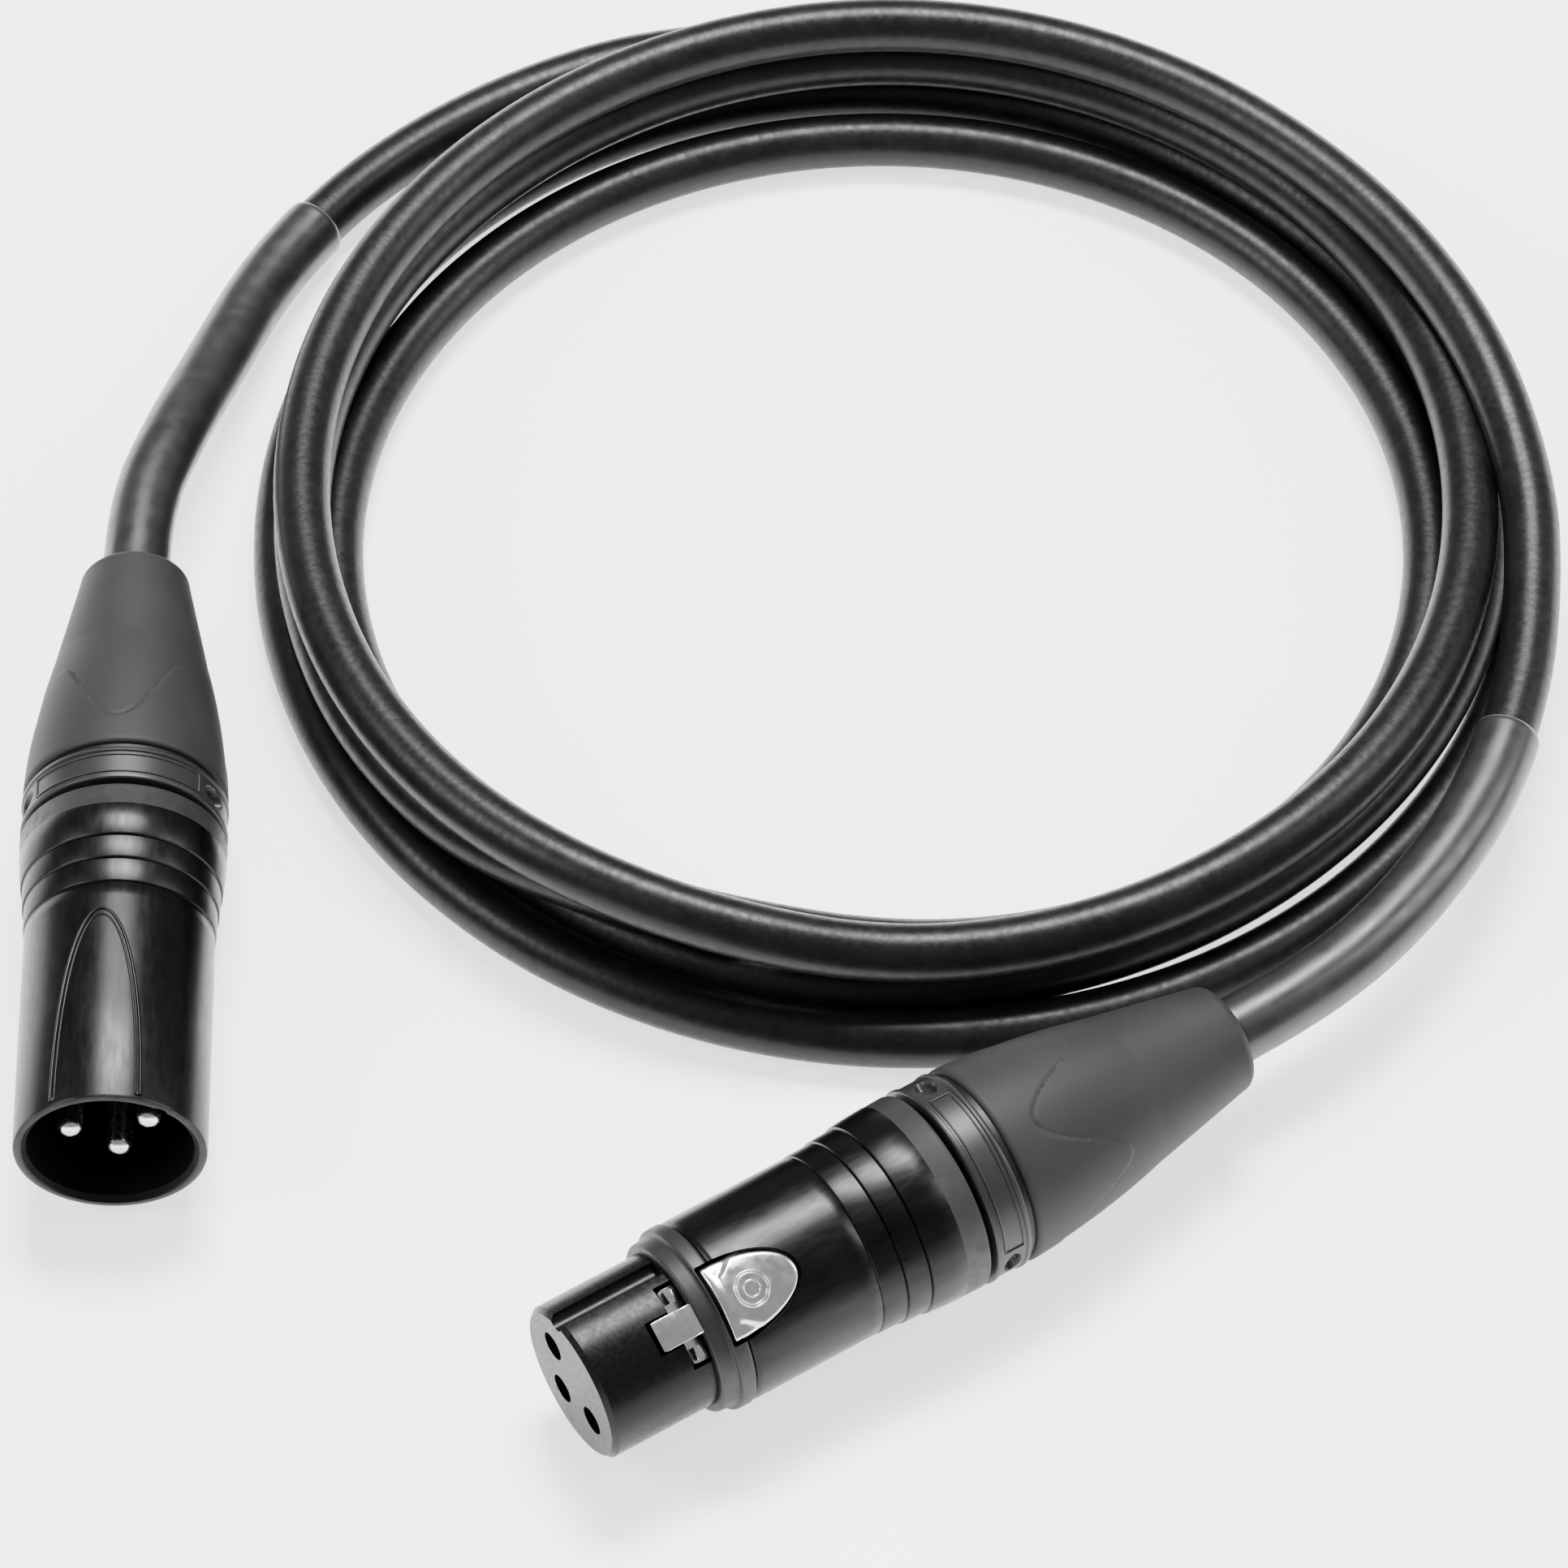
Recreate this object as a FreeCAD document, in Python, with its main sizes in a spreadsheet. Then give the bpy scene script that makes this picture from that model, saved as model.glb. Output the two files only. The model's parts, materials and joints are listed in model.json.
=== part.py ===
import FreeCAD, Part
import math
import os
import Sketcher
from FreeCAD import Placement, Rotation, Vector

# A balanced microphone cable: a male and a female three-pole connector on a loosely coiled cord.
# Millimetres, +Z up, the floor is z = 0. Each connector is drawn about its own Z axis, which runs
# from the mating face to the cord, with X towards its key, and is then laid on the floor.

SIZES = (
    ("male_rim_across", -50.0, "centre of the male rim, X"),
    ("male_rim_along", -19.5, "centre of the male rim, Y"),
    ("male_heading", 91.51, "direction from the male rim to its cord, degrees"),
    ("male_roll", -9.5, "turn of the male key from straight up, degrees"),
    ("female_nose_across", -4.7, "centre of the female nose, X"),
    ("female_nose_along", -46.1, "centre of the female nose, Y"),
    ("female_heading", 32.5, "direction from the female nose to its cord, degrees"),
    ("female_roll", 29.4, "turn of the latch from straight up, degrees"),
    ("coil_centre_across", 26.1, "centre of the coil, X"),
    ("coil_centre_along", 63.8, "centre of the coil, Y"),
    ("axis_height", 10.45, "both connectors lie on their widest ring"),
    ("shell_radius", 9.5, "outside of a connector shell"),
    ("shell_bore", 8.2, "inside of a connector shell"),
    ("shell_tail_radius", 10.35, "rear end of a shell"),
    ("male_shell_length", 37.5, "rim to rear face"),
    ("female_shell_end", 41.1, "nose face to the shell's rear face"),
    ("female_shell_start", 15.0, "nose face to the shell's front"),
    ("thread_bore", 8.35, "threaded rear of a shell"),
    ("thread_length", 11.0, "threaded depth of a shell"),
    ("rim_chamfer", 0.4, "edge break of rims"),
    ("cavity_depth", 13.5, "rim to the male insert"),
    ("insert_radius", 8.15, "male insert"),
    ("insert_end", 19.5, "back of the male insert's disc"),
    ("clip_radius", 8.19, "ground clip against the shell's bore"),
    ("clip_thickness", 0.35, "ground clip"),
    ("clip_width", 2.4, "ground clip along the axis"),
    ("clip_gap_half", 7.0, "half the gap in the ground clip"),
    ("clip_seat", 7.7, "groove for the ground clip"),
    ("key_angle", 48.0, "from the latch side round to the key, degrees"),
    ("keyway_centre", 7.9, "centre of the keyway's round groove"),
    ("keyway_radius", 1.1, "keyway's round groove"),
    ("keyway_depth", 11.0, "rim to the keyway's end"),
    ("pin_radius", 1.2, "contact pins where they stand free"),
    ("pin_root", 1.0, "contact pins in the insert"),
    ("pin_recess", 2.4, "rim to the pin tips"),
    ("pin_pair_half", 3.96, "half the distance between the paired contacts"),
    ("pin_pair_height", 0.7, "paired contacts above the axis"),
    ("pin_single_height", -3.26, "third contact below the axis"),
    ("male_cup_start", 21.5, "rim to the male solder cups"),
    ("female_cup_start", 26.0, "nose face to the female solder cups"),
    ("socket_start", 1.25, "nose face to the contact sockets"),
    ("cup_radius", 1.45, "outside of a solder cup"),
    ("cup_bore", 0.85, "inside of a solder cup"),
    ("cup_length", 3.5, "male solder cup"),
    ("female_cup_length", 3.0, "female solder cup"),
    ("nose_radius", 8.0, "female nose"),
    ("insert_body", 7.7, "female insert behind its nose"),
    ("socket_radius", 1.9, "outside of a contact socket"),
    ("socket_bore", 1.24, "bore of a contact socket"),
    ("socket_depth", 13.0, "depth of a contact socket's bore"),
    ("gasket_start", 11.5, "nose face to the gasket"),
    ("gasket_step", 13.2, "nose face to the gasket's second step"),
    ("gasket_small", 9.0, "first step of the gasket"),
    ("gasket_large", 9.6, "second step of the gasket"),
    ("latch_arm_top", 6.4, "latch arm above the axis"),
    ("latch_arm_bottom", 5.0, "latch arm above the axis"),
    ("latch_floor", 3.2, "floor of the latch channel above the axis"),
    ("latch_half_width", 3.9, "half the width of the latch arm"),
    ("latch_tooth_top", 8.9, "latch tooth above the axis"),
    ("latch_pivot_station", 24.5, "nose face to the latch pivot"),
    ("latch_pivot_height", 6.2, "latch pivot above the axis"),
    ("latch_pivot_radius", 0.8, "latch pivot"),
    ("latch_pivot_half", 4.0, "half the latch pivot's length"),
    ("tab_start", 13.8, "front of the release tab"),
    ("tab_shoulder", 17.4, "where the tab's sides begin to close in"),
    ("tab_tip", 22.3, "tip of the release tab"),
    ("tab_half_width", 3.85, "half the width of the release tab"),
    ("tab_radius", 9.85, "top of the release tab"),
    ("tab_gap", 0.35, "gap round the release tab"),
    ("ring_radius", 10.45, "coding ring"),
    ("ring_bore", 8.45, "inside of the coding ring"),
    ("ring_start", 0.6, "shell's rear face to the coding ring"),
    ("ring_end", 4.6, "shell's rear face to the coding ring's end"),
    ("boot_start", 5.3, "shell's rear face to the boot"),
    ("boot_front_radius", 10.42, "front of the boot"),
    ("boot_waist", 22.0, "shell's rear face to the end of the boot's swell"),
    ("boot_waist_radius", 7.95, "boot where its swell ends"),
    ("boot_swell", 76.0, "radius of the swell's curve"),
    ("boot_end", 34.5, "shell's rear face to the boot's end"),
    ("boot_end_radius", 5.6, "boot's end"),
    ("boot_rounding", 1.3, "rounding of the boot's end"),
    ("boot_bore", 3.75, "boot round the cord"),
    ("bushing_thread", 8.2, "threaded front of the bushing"),
    ("bushing_depth", 8.5, "length of the bushing in the shell"),
    ("bushing_bore", 6.95, "inside of the bushing"),
    ("bushing_flange", 9.9, "flange behind the coding ring"),
    ("bushing_sleeve", 7.4, "bushing inside the boot"),
    ("bushing_end", 15.0, "shell's rear face to the bushing's end"),
    ("bushing_throat", 5.2, "narrow end of the bushing's cone"),
    ("chuck_radius", 6.6, "cord clamp"),
    ("chuck_tip", 4.85, "narrow end of the cord clamp"),
    ("chuck_bore", 3.0, "cord clamp round the cord"),
    ("chuck_depth", 9.0, "shell's rear face back to the clamp's front"),
    ("jacket_depth", 8.0, "shell's rear face back to the end of the cord's jacket"),
    ("cord_radius", 2.95, "cord jacket"),
    ("sleeve_radius", 3.45, "label sleeve"),
    ("sleeve_bore", 3.0, "inside of a label sleeve"),
    ("core_radius", 0.7, "insulated core"),
    ("core_spread", 1.35, "cores from the cord's axis where the jacket ends"),
)

# Cord outside the coil, from each boot to the coil, chosen so that every bend is easy.
MALE_LEAD_ROUTE = (
    (-51.9, 52.5, 10.45),
    (-52.15, 62.0, 10.45),
    (-49.5, 72.8, 9.6),
    (-45.9, 85.8, 6.2),
    (-40.5, 102.4, 3.8),
    (-30.2, 117.1, 3.3),
    (-15.5, 128.9, 3.0),
    (1.9, 136.4, 3.0),
    (17.6, 137.4, 3.0),
)
FEMALE_LEAD_ROUTE = (
    (59.1, -5.5, 10.45),
    (68.3, 0.4, 10.45),
    (78.1, 10.5, 10.5),
    (86.3, 23.2, 10.7),
    (91.4, 37.8, 11.1),
    (93.3, 51.3, 11.8),
    (93.4, 62.3, 12.5),
)
MALE_SLEEVE_EDGES = 8
FEMALE_SLEEVE_EDGES = 7

# The coil's turns, followed clockwise from the male lead: angle, distance from the centre, height.
COIL_STATIONS = (
    (90, 72.3, 3.0),
    (45, 70.6, 3.0),
    (0, 68.3, 3.0),
    (-45, 66.5, 3.0),
    (-90, 64.4, 3.0),
    (-135, 63.3, 3.0),
    (-180, 63.8, 3.0),
    (-225, 66.0, 3.0),
    (-270, 66.3, 3.0),
    (-315, 64.4, 3.0),
    (-360, 63.2, 5.6),
    (-405, 60.9, 6.6),
    (-450, 59.4, 5.2),
    (-472, 58.4, 3.4),
    (-495, 57.4, 3.0),
    (-540, 58.1, 3.0),
    (-585, 58.4, 3.0),
    (-630, 58.6, 3.0),
    (-675, 58.6, 3.0),
    (-720, 57.9, 3.0),
    (-765, 56.4, 3.0),
    (-802, 53.9, 3.4),
    (-832, 56.9, 9.3),
    (-855, 60.6, 8.8),
    (-900, 61.3, 8.2),
    (-945, 63.0, 8.6),
    (-990, 65.4, 9.0),
    (-1035, 63.9, 9.4),
    (-1080, 61.4, 10.9),
    (-1125, 61.0, 12.4),
    (-1170, 59.9, 11.2),
    (-1192, 60.8, 14.8),
    (-1215, 61.0, 14.4),
    (-1260, 61.0, 13.9),
    (-1305, 62.6, 14.5),
    (-1350, 64.8, 14.9),
    (-1395, 63.8, 15.3),
    (-1410, 64.3, 15.4),
    (-1425, 65.3, 14.8),
    (-1440, 66.9, 12.9),
)
COIL_STEP = 7.5

# Where each shell widens, and by how much: distance from the mating face, rise.
MALE_STEPS = ((25.9, 0.15), (28.7, 0.25), (31.4, 0.25))
FEMALE_STEPS = ((29.3, 0.15), (32.0, 0.25), (34.6, 0.25))
STEP_SLOPE = 0.1

doc = FreeCAD.newDocument("microphone_cable")
sheet = doc.addObject("Spreadsheet::Sheet", "Sizes")
for row, (alias, number, note) in enumerate(SIZES, start=1):
    sheet.set(f"A{row}", alias)
    sheet.set(f"B{row}", str(number))
    sheet.set(f"C{row}", note)
    sheet.setAlias(f"B{row}", alias)
doc.recompute()


class Length:
    """A length with its value and its formula in the sheet's cells."""

    def __init__(self, value, formula):
        self.value = value
        self.formula = formula

    def __add__(self, other):
        other = as_length(other)
        return Length(self.value + other.value, f"({self.formula} + {other.formula})")

    def __sub__(self, other):
        other = as_length(other)
        return Length(self.value - other.value, f"({self.formula} - {other.formula})")

    def __neg__(self):
        return Length(-self.value, f"(-{self.formula})")


def as_length(number):
    return number if isinstance(number, Length) else Length(number, f"{number:.6g}")


class Sizes:
    """Every cell of the sheet as a length."""


size = Sizes()
for alias, number, note in SIZES:
    setattr(size, alias, Length(sheet.get(alias), f"Sizes.{alias}"))

parts = {}


def finished(node, thing, place):
    """Names a sub-part and lays it in its place."""
    thing.Label = node
    thing.Placement = place
    parts[node] = thing
    return thing


def new_body(node):
    return doc.addObject("PartDesign::Body", f"{node}_body")


def new_sketch(body, name, role, offset=0.0):
    """A sketch on one of the body's own planes, moved along the plane's normal."""
    plane = next(item for item in body.Origin.OriginFeatures if item.Role == role)
    sketch = body.newObject("Sketcher::SketchObject", name)
    sketch.AttachmentSupport = [(plane, "")]
    sketch.MapMode = "FlatFace"
    sketch.AttachmentOffset = Placement(Vector(0, 0, as_length(offset).value), Rotation())
    if isinstance(offset, Length):
        sketch.setExpression("AttachmentOffset.Base.z", offset.formula)
    return sketch


def bind(sketch, kind, handle, length):
    """Holds a point's distance from the sketch's origin to a formula."""
    length = as_length(length)
    index = sketch.addConstraint(Sketcher.Constraint(kind, -1, 1, *handle, length.value))
    sketch.setExpression(f"Constraints[{index}]", length.formula)


def draw_outline(sketch, corners, arcs=None):
    """A closed outline. arcs gives some sides a radius, positive where they bulge to the right."""
    arcs = arcs or {}
    points = [Vector(as_length(x).value, as_length(y).value, 0) for x, y in corners]
    starts = []
    ends = []
    for side, start in enumerate(points):
        end = points[(side + 1) % len(points)]
        if side not in arcs:
            edge = sketch.addGeometry(Part.LineSegment(start, end), False)
            starts.append((edge, 1))
            ends.append((edge, 2))
            continue
        radius = arcs[side]
        value = abs(as_length(radius).value)
        bulges_right = as_length(radius).value > 0
        chord = end - start
        rightward = Vector(chord.y, -chord.x, 0).normalize()
        if not bulges_right:
            rightward = -rightward
        rise = value - math.sqrt(value ** 2 - (chord.Length / 2) ** 2)
        edge = sketch.addGeometry(Part.Arc(start, (start + end) / 2 + rightward * rise, end), False)
        starts.append((edge, 1) if bulges_right else (edge, 2))
        ends.append((edge, 2) if bulges_right else (edge, 1))
        index = sketch.addConstraint(Sketcher.Constraint("Radius", edge, value))
        if isinstance(radius, Length) and bulges_right:
            sketch.setExpression(f"Constraints[{index}]", radius.formula)
    for side, handle in enumerate(starts):
        sketch.addConstraint(Sketcher.Constraint("Coincident", *ends[side - 1], *handle))
        bind(sketch, "DistanceX", handle, corners[side][0])
        bind(sketch, "DistanceY", handle, corners[side][1])


def draw_circle(sketch, across, along, radius):
    across, along, radius = as_length(across), as_length(along), as_length(radius)
    shape = Part.Circle(Vector(across.value, along.value, 0), Vector(0, 0, 1), radius.value)
    edge = sketch.addGeometry(shape, False)
    index = sketch.addConstraint(Sketcher.Constraint("Radius", edge, radius.value))
    sketch.setExpression(f"Constraints[{index}]", radius.formula)
    bind(sketch, "DistanceX", (edge, 3), across)
    bind(sketch, "DistanceY", (edge, 3), along)


def turned(node, corners, arcs=None):
    """A body of revolution about its Z axis; corners are (radius, station)."""
    body = new_body(node)
    sketch = new_sketch(body, f"{node}_profile", "XZ_Plane")
    draw_outline(sketch, corners, arcs)
    spin = body.newObject("PartDesign::Revolution", f"{node}_turning")
    spin.Profile = sketch
    spin.ReferenceAxis = (sketch, ["V_Axis"])
    spin.Angle = 360
    sketch.Visibility = False
    doc.recompute()
    return body


def cut(body, name, role, offset, depth, draw):
    """A pocket from a plane at an offset, cutting along the plane's normal."""
    before = body.Shape.Volume
    sketch = new_sketch(body, f"{name}_outline", role, offset)
    draw(sketch)
    pocket = body.newObject("PartDesign::Pocket", name)
    pocket.Profile = sketch
    pocket.Type = 0
    pocket.Length = as_length(depth).value
    if isinstance(depth, Length):
        pocket.setExpression("Length", depth.formula)
    pocket.Reversed = True
    doc.recompute()
    if not body.Shape.Volume < before - 1e-3:
        raise RuntimeError(f"{name} cuts nothing")


def rectangle(left, right, low, high):
    return lambda sketch: draw_outline(sketch, [(left, low), (right, low), (right, high), (left, high)])


def tab_outline(margin):
    """The release tab's pointed arch, grown by a margin."""
    half = size.tab_half_width + margin
    front = size.tab_start - margin
    corners = [(-half, front), (half, front), (half, size.tab_shoulder), (0, size.tab_tip + margin),
               (-half, size.tab_shoulder)]
    return lambda sketch: draw_outline(sketch, corners, {2: 7.5, 3: 7.5})


def laid(across, along, heading, roll):
    """Lays a connector on the floor: its Z to the heading, its X up and rolled about its axis."""
    angle = math.radians(heading.value)
    back = Vector(math.cos(angle), math.sin(angle), 0)
    upright = Rotation(Vector(0, 0, 1), back.cross(Vector(0, 0, 1)) * -1, back, "ZXY")
    tilt = Rotation(back, roll.value)
    return Placement(Vector(across.value, along.value, size.axis_height.value), tilt * upright)


MALE = laid(size.male_rim_across, size.male_rim_along, size.male_heading, size.male_roll)
FEMALE = laid(size.female_nose_across, size.female_nose_along, size.female_heading, size.female_roll)

CONTACTS = (
    (size.pin_pair_height, -size.pin_pair_half),
    (size.pin_pair_height, size.pin_pair_half),
    (size.pin_single_height, as_length(0)),
)


def moved(place, across, along):
    return place * Placement(Vector(across.value, along.value, 0), Rotation())


# Cord: straight runs joined by arcs as large as the runs allow.
def route_edges(route, share=0.45):
    """The edges along a route, and the radius of each bend."""
    points = [Vector(*point) for point in route]
    edges = []
    radii = []
    here = points[0]
    for before, corner, after in zip(points, points[1:], points[2:]):
        into = (corner - before).normalize()
        out = (after - corner).normalize()
        reach = share * min((corner - before).Length, (after - corner).Length)
        half_turn = into.getAngle(out) / 2
        radius = reach / math.tan(half_turn)
        start = corner - into * reach
        end = corner + out * reach
        inward = (out - into).normalize()
        middle = corner + inward * (radius / math.cos(half_turn) - radius)
        edges.append(Part.LineSegment(here, start).toShape())
        edges.append(Part.Arc(start, middle, end).toShape())
        radii.append(radius)
        here = end
    edges.append(Part.LineSegment(here, points[-1]).toShape())
    return edges, radii


def rod(edges, radius):
    """A round solid along edges that join end to end."""
    first = edges[0]
    start = first.Vertexes[0].Point
    heading = first.tangentAt(first.FirstParameter)
    section = Part.Wire([Part.Circle(start, heading, radius).toShape()])
    return Part.Wire(edges).makePipeShell([section], True, False)


def cord_piece(node, edges, radius, bore=None):
    """A tube along the cord, checked against its section times its length."""
    solid = rod(edges, radius.value)
    area = radius.value ** 2
    if bore:
        solid = solid.cut(rod(edges, bore.value))
        area -= bore.value ** 2
    length = sum(edge.Length for edge in edges)
    expected = math.pi * area * length
    print(f"{node}: length {length:.1f} mm, volume {solid.Volume:.0f} of {expected:.0f} mm3")
    feature = doc.addObject("Part::Feature", f"{node}_solid")
    feature.Shape = solid
    return finished(node, feature, Placement())


def make_leads():
    for name, route, sleeve_edges in (
        ("male", MALE_LEAD_ROUTE, MALE_SLEEVE_EDGES),
        ("female", FEMALE_LEAD_ROUTE, FEMALE_SLEEVE_EDGES),
    ):
        edges, radii = route_edges(route)
        print(name, "lead radii", [round(radius, 1) for radius in radii])
        cord_piece(f"{name}_lead_cord", edges, size.cord_radius)
        cord_piece(f"{name}_label_sleeve", edges[:sleeve_edges], size.sleeve_radius, size.sleeve_bore)


def turn_at(angle):
    """The cord's distance from the coil's centre and its height, at an angle along the turns."""
    for index in range(len(COIL_STATIONS) - 1):
        if angle >= COIL_STATIONS[index + 1][0]:
            break
    span = [COIL_STATIONS[max(0, min(len(COIL_STATIONS) - 1, index + step))] for step in (-1, 0, 1, 2)]
    before, start, end, after = span
    width = end[0] - start[0]
    share = (angle - start[0]) / width
    result = []
    for axis in (1, 2):
        slope_in = (end[axis] - before[axis]) / (end[0] - before[0]) * width
        slope_out = (after[axis] - start[axis]) / (after[0] - start[0]) * width
        rise = end[axis] - start[axis]
        bend = share * (1 - share)
        ease = share * share * (3 - 2 * share)
        value = start[axis] + rise * ease + bend * (slope_in * (1 - share) - slope_out * share)
        result.append(value)
    return result


def make_coil():
    """One closed solid of the coil's outer shape, from a section every few degrees."""
    radius = size.cord_radius.value
    centre = Vector(size.coil_centre_across.value, size.coil_centre_along.value, 0)
    count = round(360 / COIL_STEP)
    first, last = COIL_STATIONS[0][0], COIL_STATIONS[-1][0]
    sections = []
    for number in range(count):
        angle = number * COIL_STEP
        strands = [turn_at(angle - 360 * turn) for turn in range(-1, 5) if last <= angle - 360 * turn <= first]
        inner = min(strand[0] for strand in strands) - radius
        outer = max(strand[0] for strand in strands if strand[1] < 2 * radius) + radius
        top = max(strands, key=lambda strand: strand[1])
        crown = top[1] + radius
        shoulder = max(strand[0] for strand in strands if strand[1] > 7) + radius
        outline = (
            (inner, 0.05),
            (outer, 0.05),
            (max(outer, shoulder), 2 * radius),
            (shoulder, crown - radius),
            (top[0] + 0.5 * radius, crown),
            (top[0] - 0.5 * radius, crown),
            (inner, 2 * radius),
        )
        turn = math.radians(angle)
        outward = Vector(math.cos(turn), math.sin(turn), 0)
        sections.append([centre + outward * across + Vector(0, 0, height) for across, height in outline])
    faces = []
    corners = len(sections[0])
    for number, section in enumerate(sections):
        following = sections[(number + 1) % count]
        for corner in range(corners):
            beyond = (corner + 1) % corners
            a, b = section[corner], section[beyond]
            c, d = following[beyond], following[corner]
            for triangle in ((a, b, c), (a, c, d)):
                faces.append(Part.Face(Part.makePolygon([*triangle, triangle[0]])))
    solid = Part.Solid(Part.makeShell(faces))
    if solid.Volume < 0:
        solid.reverse()
    feature = doc.addObject("Part::Feature", "cable_coil_solid")
    feature.Shape = solid
    finished("cable_coil", feature, Placement())
    length = 0.0
    here = None
    for number in range(round((first - last) / COIL_STEP) + 1):
        distance, height = turn_at(first - number * COIL_STEP)
        turn = math.radians(first - number * COIL_STEP)
        point = Vector(distance * math.cos(turn), distance * math.sin(turn), height)
        length += (point - here).Length if here else 0.0
        here = point
    print(f"cord in the coil: {length:.0f} mm; coil solid {solid.Volume:.0f} mm3")


def widening(steps):
    """The outside of a shell along its small steps."""
    corners = []
    radius = size.shell_radius
    for station, rise in steps:
        corners.append((radius, station))
        radius = radius + rise
        corners.append((radius, station + STEP_SLOPE))
    return corners


def core(node, place, contact, cup_end, jacket_start):
    """An insulated core from its solder cup to the end of the jacket."""
    across, along = contact[0].value, contact[1].value
    turn = math.atan2(along, across)
    spread = size.core_spread.value
    gathered = (spread * math.cos(turn), spread * math.sin(turn))
    straight = 1.0
    route = (
        (across, along, cup_end - 2.0),
        (across, along, cup_end + 0.4),
        (*gathered, jacket_start - straight),
        (*gathered, jacket_start),
    )
    edges, radii = route_edges(route)
    feature = doc.addObject("Part::Feature", f"{node}_solid")
    feature.Shape = rod(edges, size.core_radius.value)
    return finished(node, feature, place)


def ground_clip(node, place, station, gap):
    """A split spring ring that joins the shell to the cord's shield; gap is the stretch of X it leaves open."""
    outside, inside = size.clip_radius, size.clip_radius - size.clip_thickness
    end = station + size.clip_width
    body = turned(node, [(inside, station), (outside, station), (outside, end), (inside, end)])
    cut(body, f"{node}_split", "XY_Plane", station - 1.0, size.clip_width + 2.0,
        rectangle(*gap, -size.clip_gap_half, size.clip_gap_half))
    finished(node, body, place)


def make_back_end(name, place, rear, cup_end):
    """Coding ring, bushing, boot, clamp, jacket end and cores; rear is the shell's rear face."""
    finished(f"{name}_coding_ring", turned(f"{name}_coding_ring", [
        (size.ring_bore, rear + size.ring_start),
        (size.ring_radius - 0.2, rear + size.ring_start),
        (size.ring_radius, rear + size.ring_start + 0.2),
        (size.ring_radius, rear + size.ring_end - 0.2),
        (size.ring_radius - 0.2, rear + size.ring_end),
        (size.ring_bore, rear + size.ring_end),
    ]), place)

    finished(f"{name}_bushing", turned(f"{name}_bushing", [
        (size.bushing_bore, rear - size.bushing_depth),
        (size.bushing_thread - 0.5, rear - size.bushing_depth),
        (size.bushing_thread, rear - size.bushing_depth + 0.5),
        (size.bushing_thread, rear + size.ring_end + 0.15),
        (size.bushing_flange, rear + size.ring_end + 0.15),
        (size.bushing_flange, rear + size.boot_start),
        (size.bushing_sleeve, rear + size.boot_start),
        (size.bushing_sleeve, rear + size.bushing_end),
        (size.bushing_throat, rear + size.bushing_end),
        (size.bushing_throat, rear + size.bushing_end - 3.0),
        (size.bushing_bore, rear + size.bushing_end - 9.0),
    ]), place)

    finished(f"{name}_boot", turned(f"{name}_boot", [
        (size.bushing_sleeve + 0.02, rear + size.boot_start),
        (size.boot_front_radius - 0.4, rear + size.boot_start),
        (size.boot_front_radius, rear + size.boot_start + 0.4),
        (size.boot_waist_radius, rear + size.boot_waist),
        (size.boot_end_radius, rear + size.boot_end - size.boot_rounding),
        (size.boot_end_radius - size.boot_rounding, rear + size.boot_end),
        (size.boot_bore + 0.3, rear + size.boot_end),
        (size.boot_bore, rear + size.boot_end - 0.5),
        (size.boot_bore, rear + size.boot_waist),
        (size.bushing_sleeve - 1.5, rear + size.bushing_end + 0.02),
        (size.bushing_sleeve + 0.02, rear + size.bushing_end + 0.02),
    ], {2: size.boot_swell, 4: size.boot_rounding}), place)

    clamp = turned(f"{name}_cord_clamp", [
        (size.chuck_bore, rear - size.chuck_depth),
        (size.chuck_radius, rear - size.chuck_depth),
        (size.chuck_radius, rear + 5.5),
        (size.chuck_tip, rear + 11.0),
        (size.chuck_bore, rear + 11.0),
    ])
    reach, half_slot = 8.0, 0.4
    for slot, half_across, half_along in (("upright", reach, half_slot), ("level", half_slot, reach)):
        cut(clamp, f"{name}_clamp_slot_{slot}", "XY_Plane", rear - 4.0, 16.0,
            rectangle(-half_across, half_across, -half_along, half_along))
    finished(f"{name}_cord_clamp", clamp, place)

    finished(f"{name}_jacket_end", turned(f"{name}_jacket_end", [
        (0, rear - size.jacket_depth),
        (size.cord_radius, rear - size.jacket_depth),
        (size.cord_radius, rear + size.boot_end),
        (0, rear + size.boot_end),
    ]), place)

    for contact, title in zip(CONTACTS, ("shield_tail", "hot_core", "cold_core")):
        core(f"{name}_{title}", place, contact, cup_end.value, (rear - size.jacket_depth).value)


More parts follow.
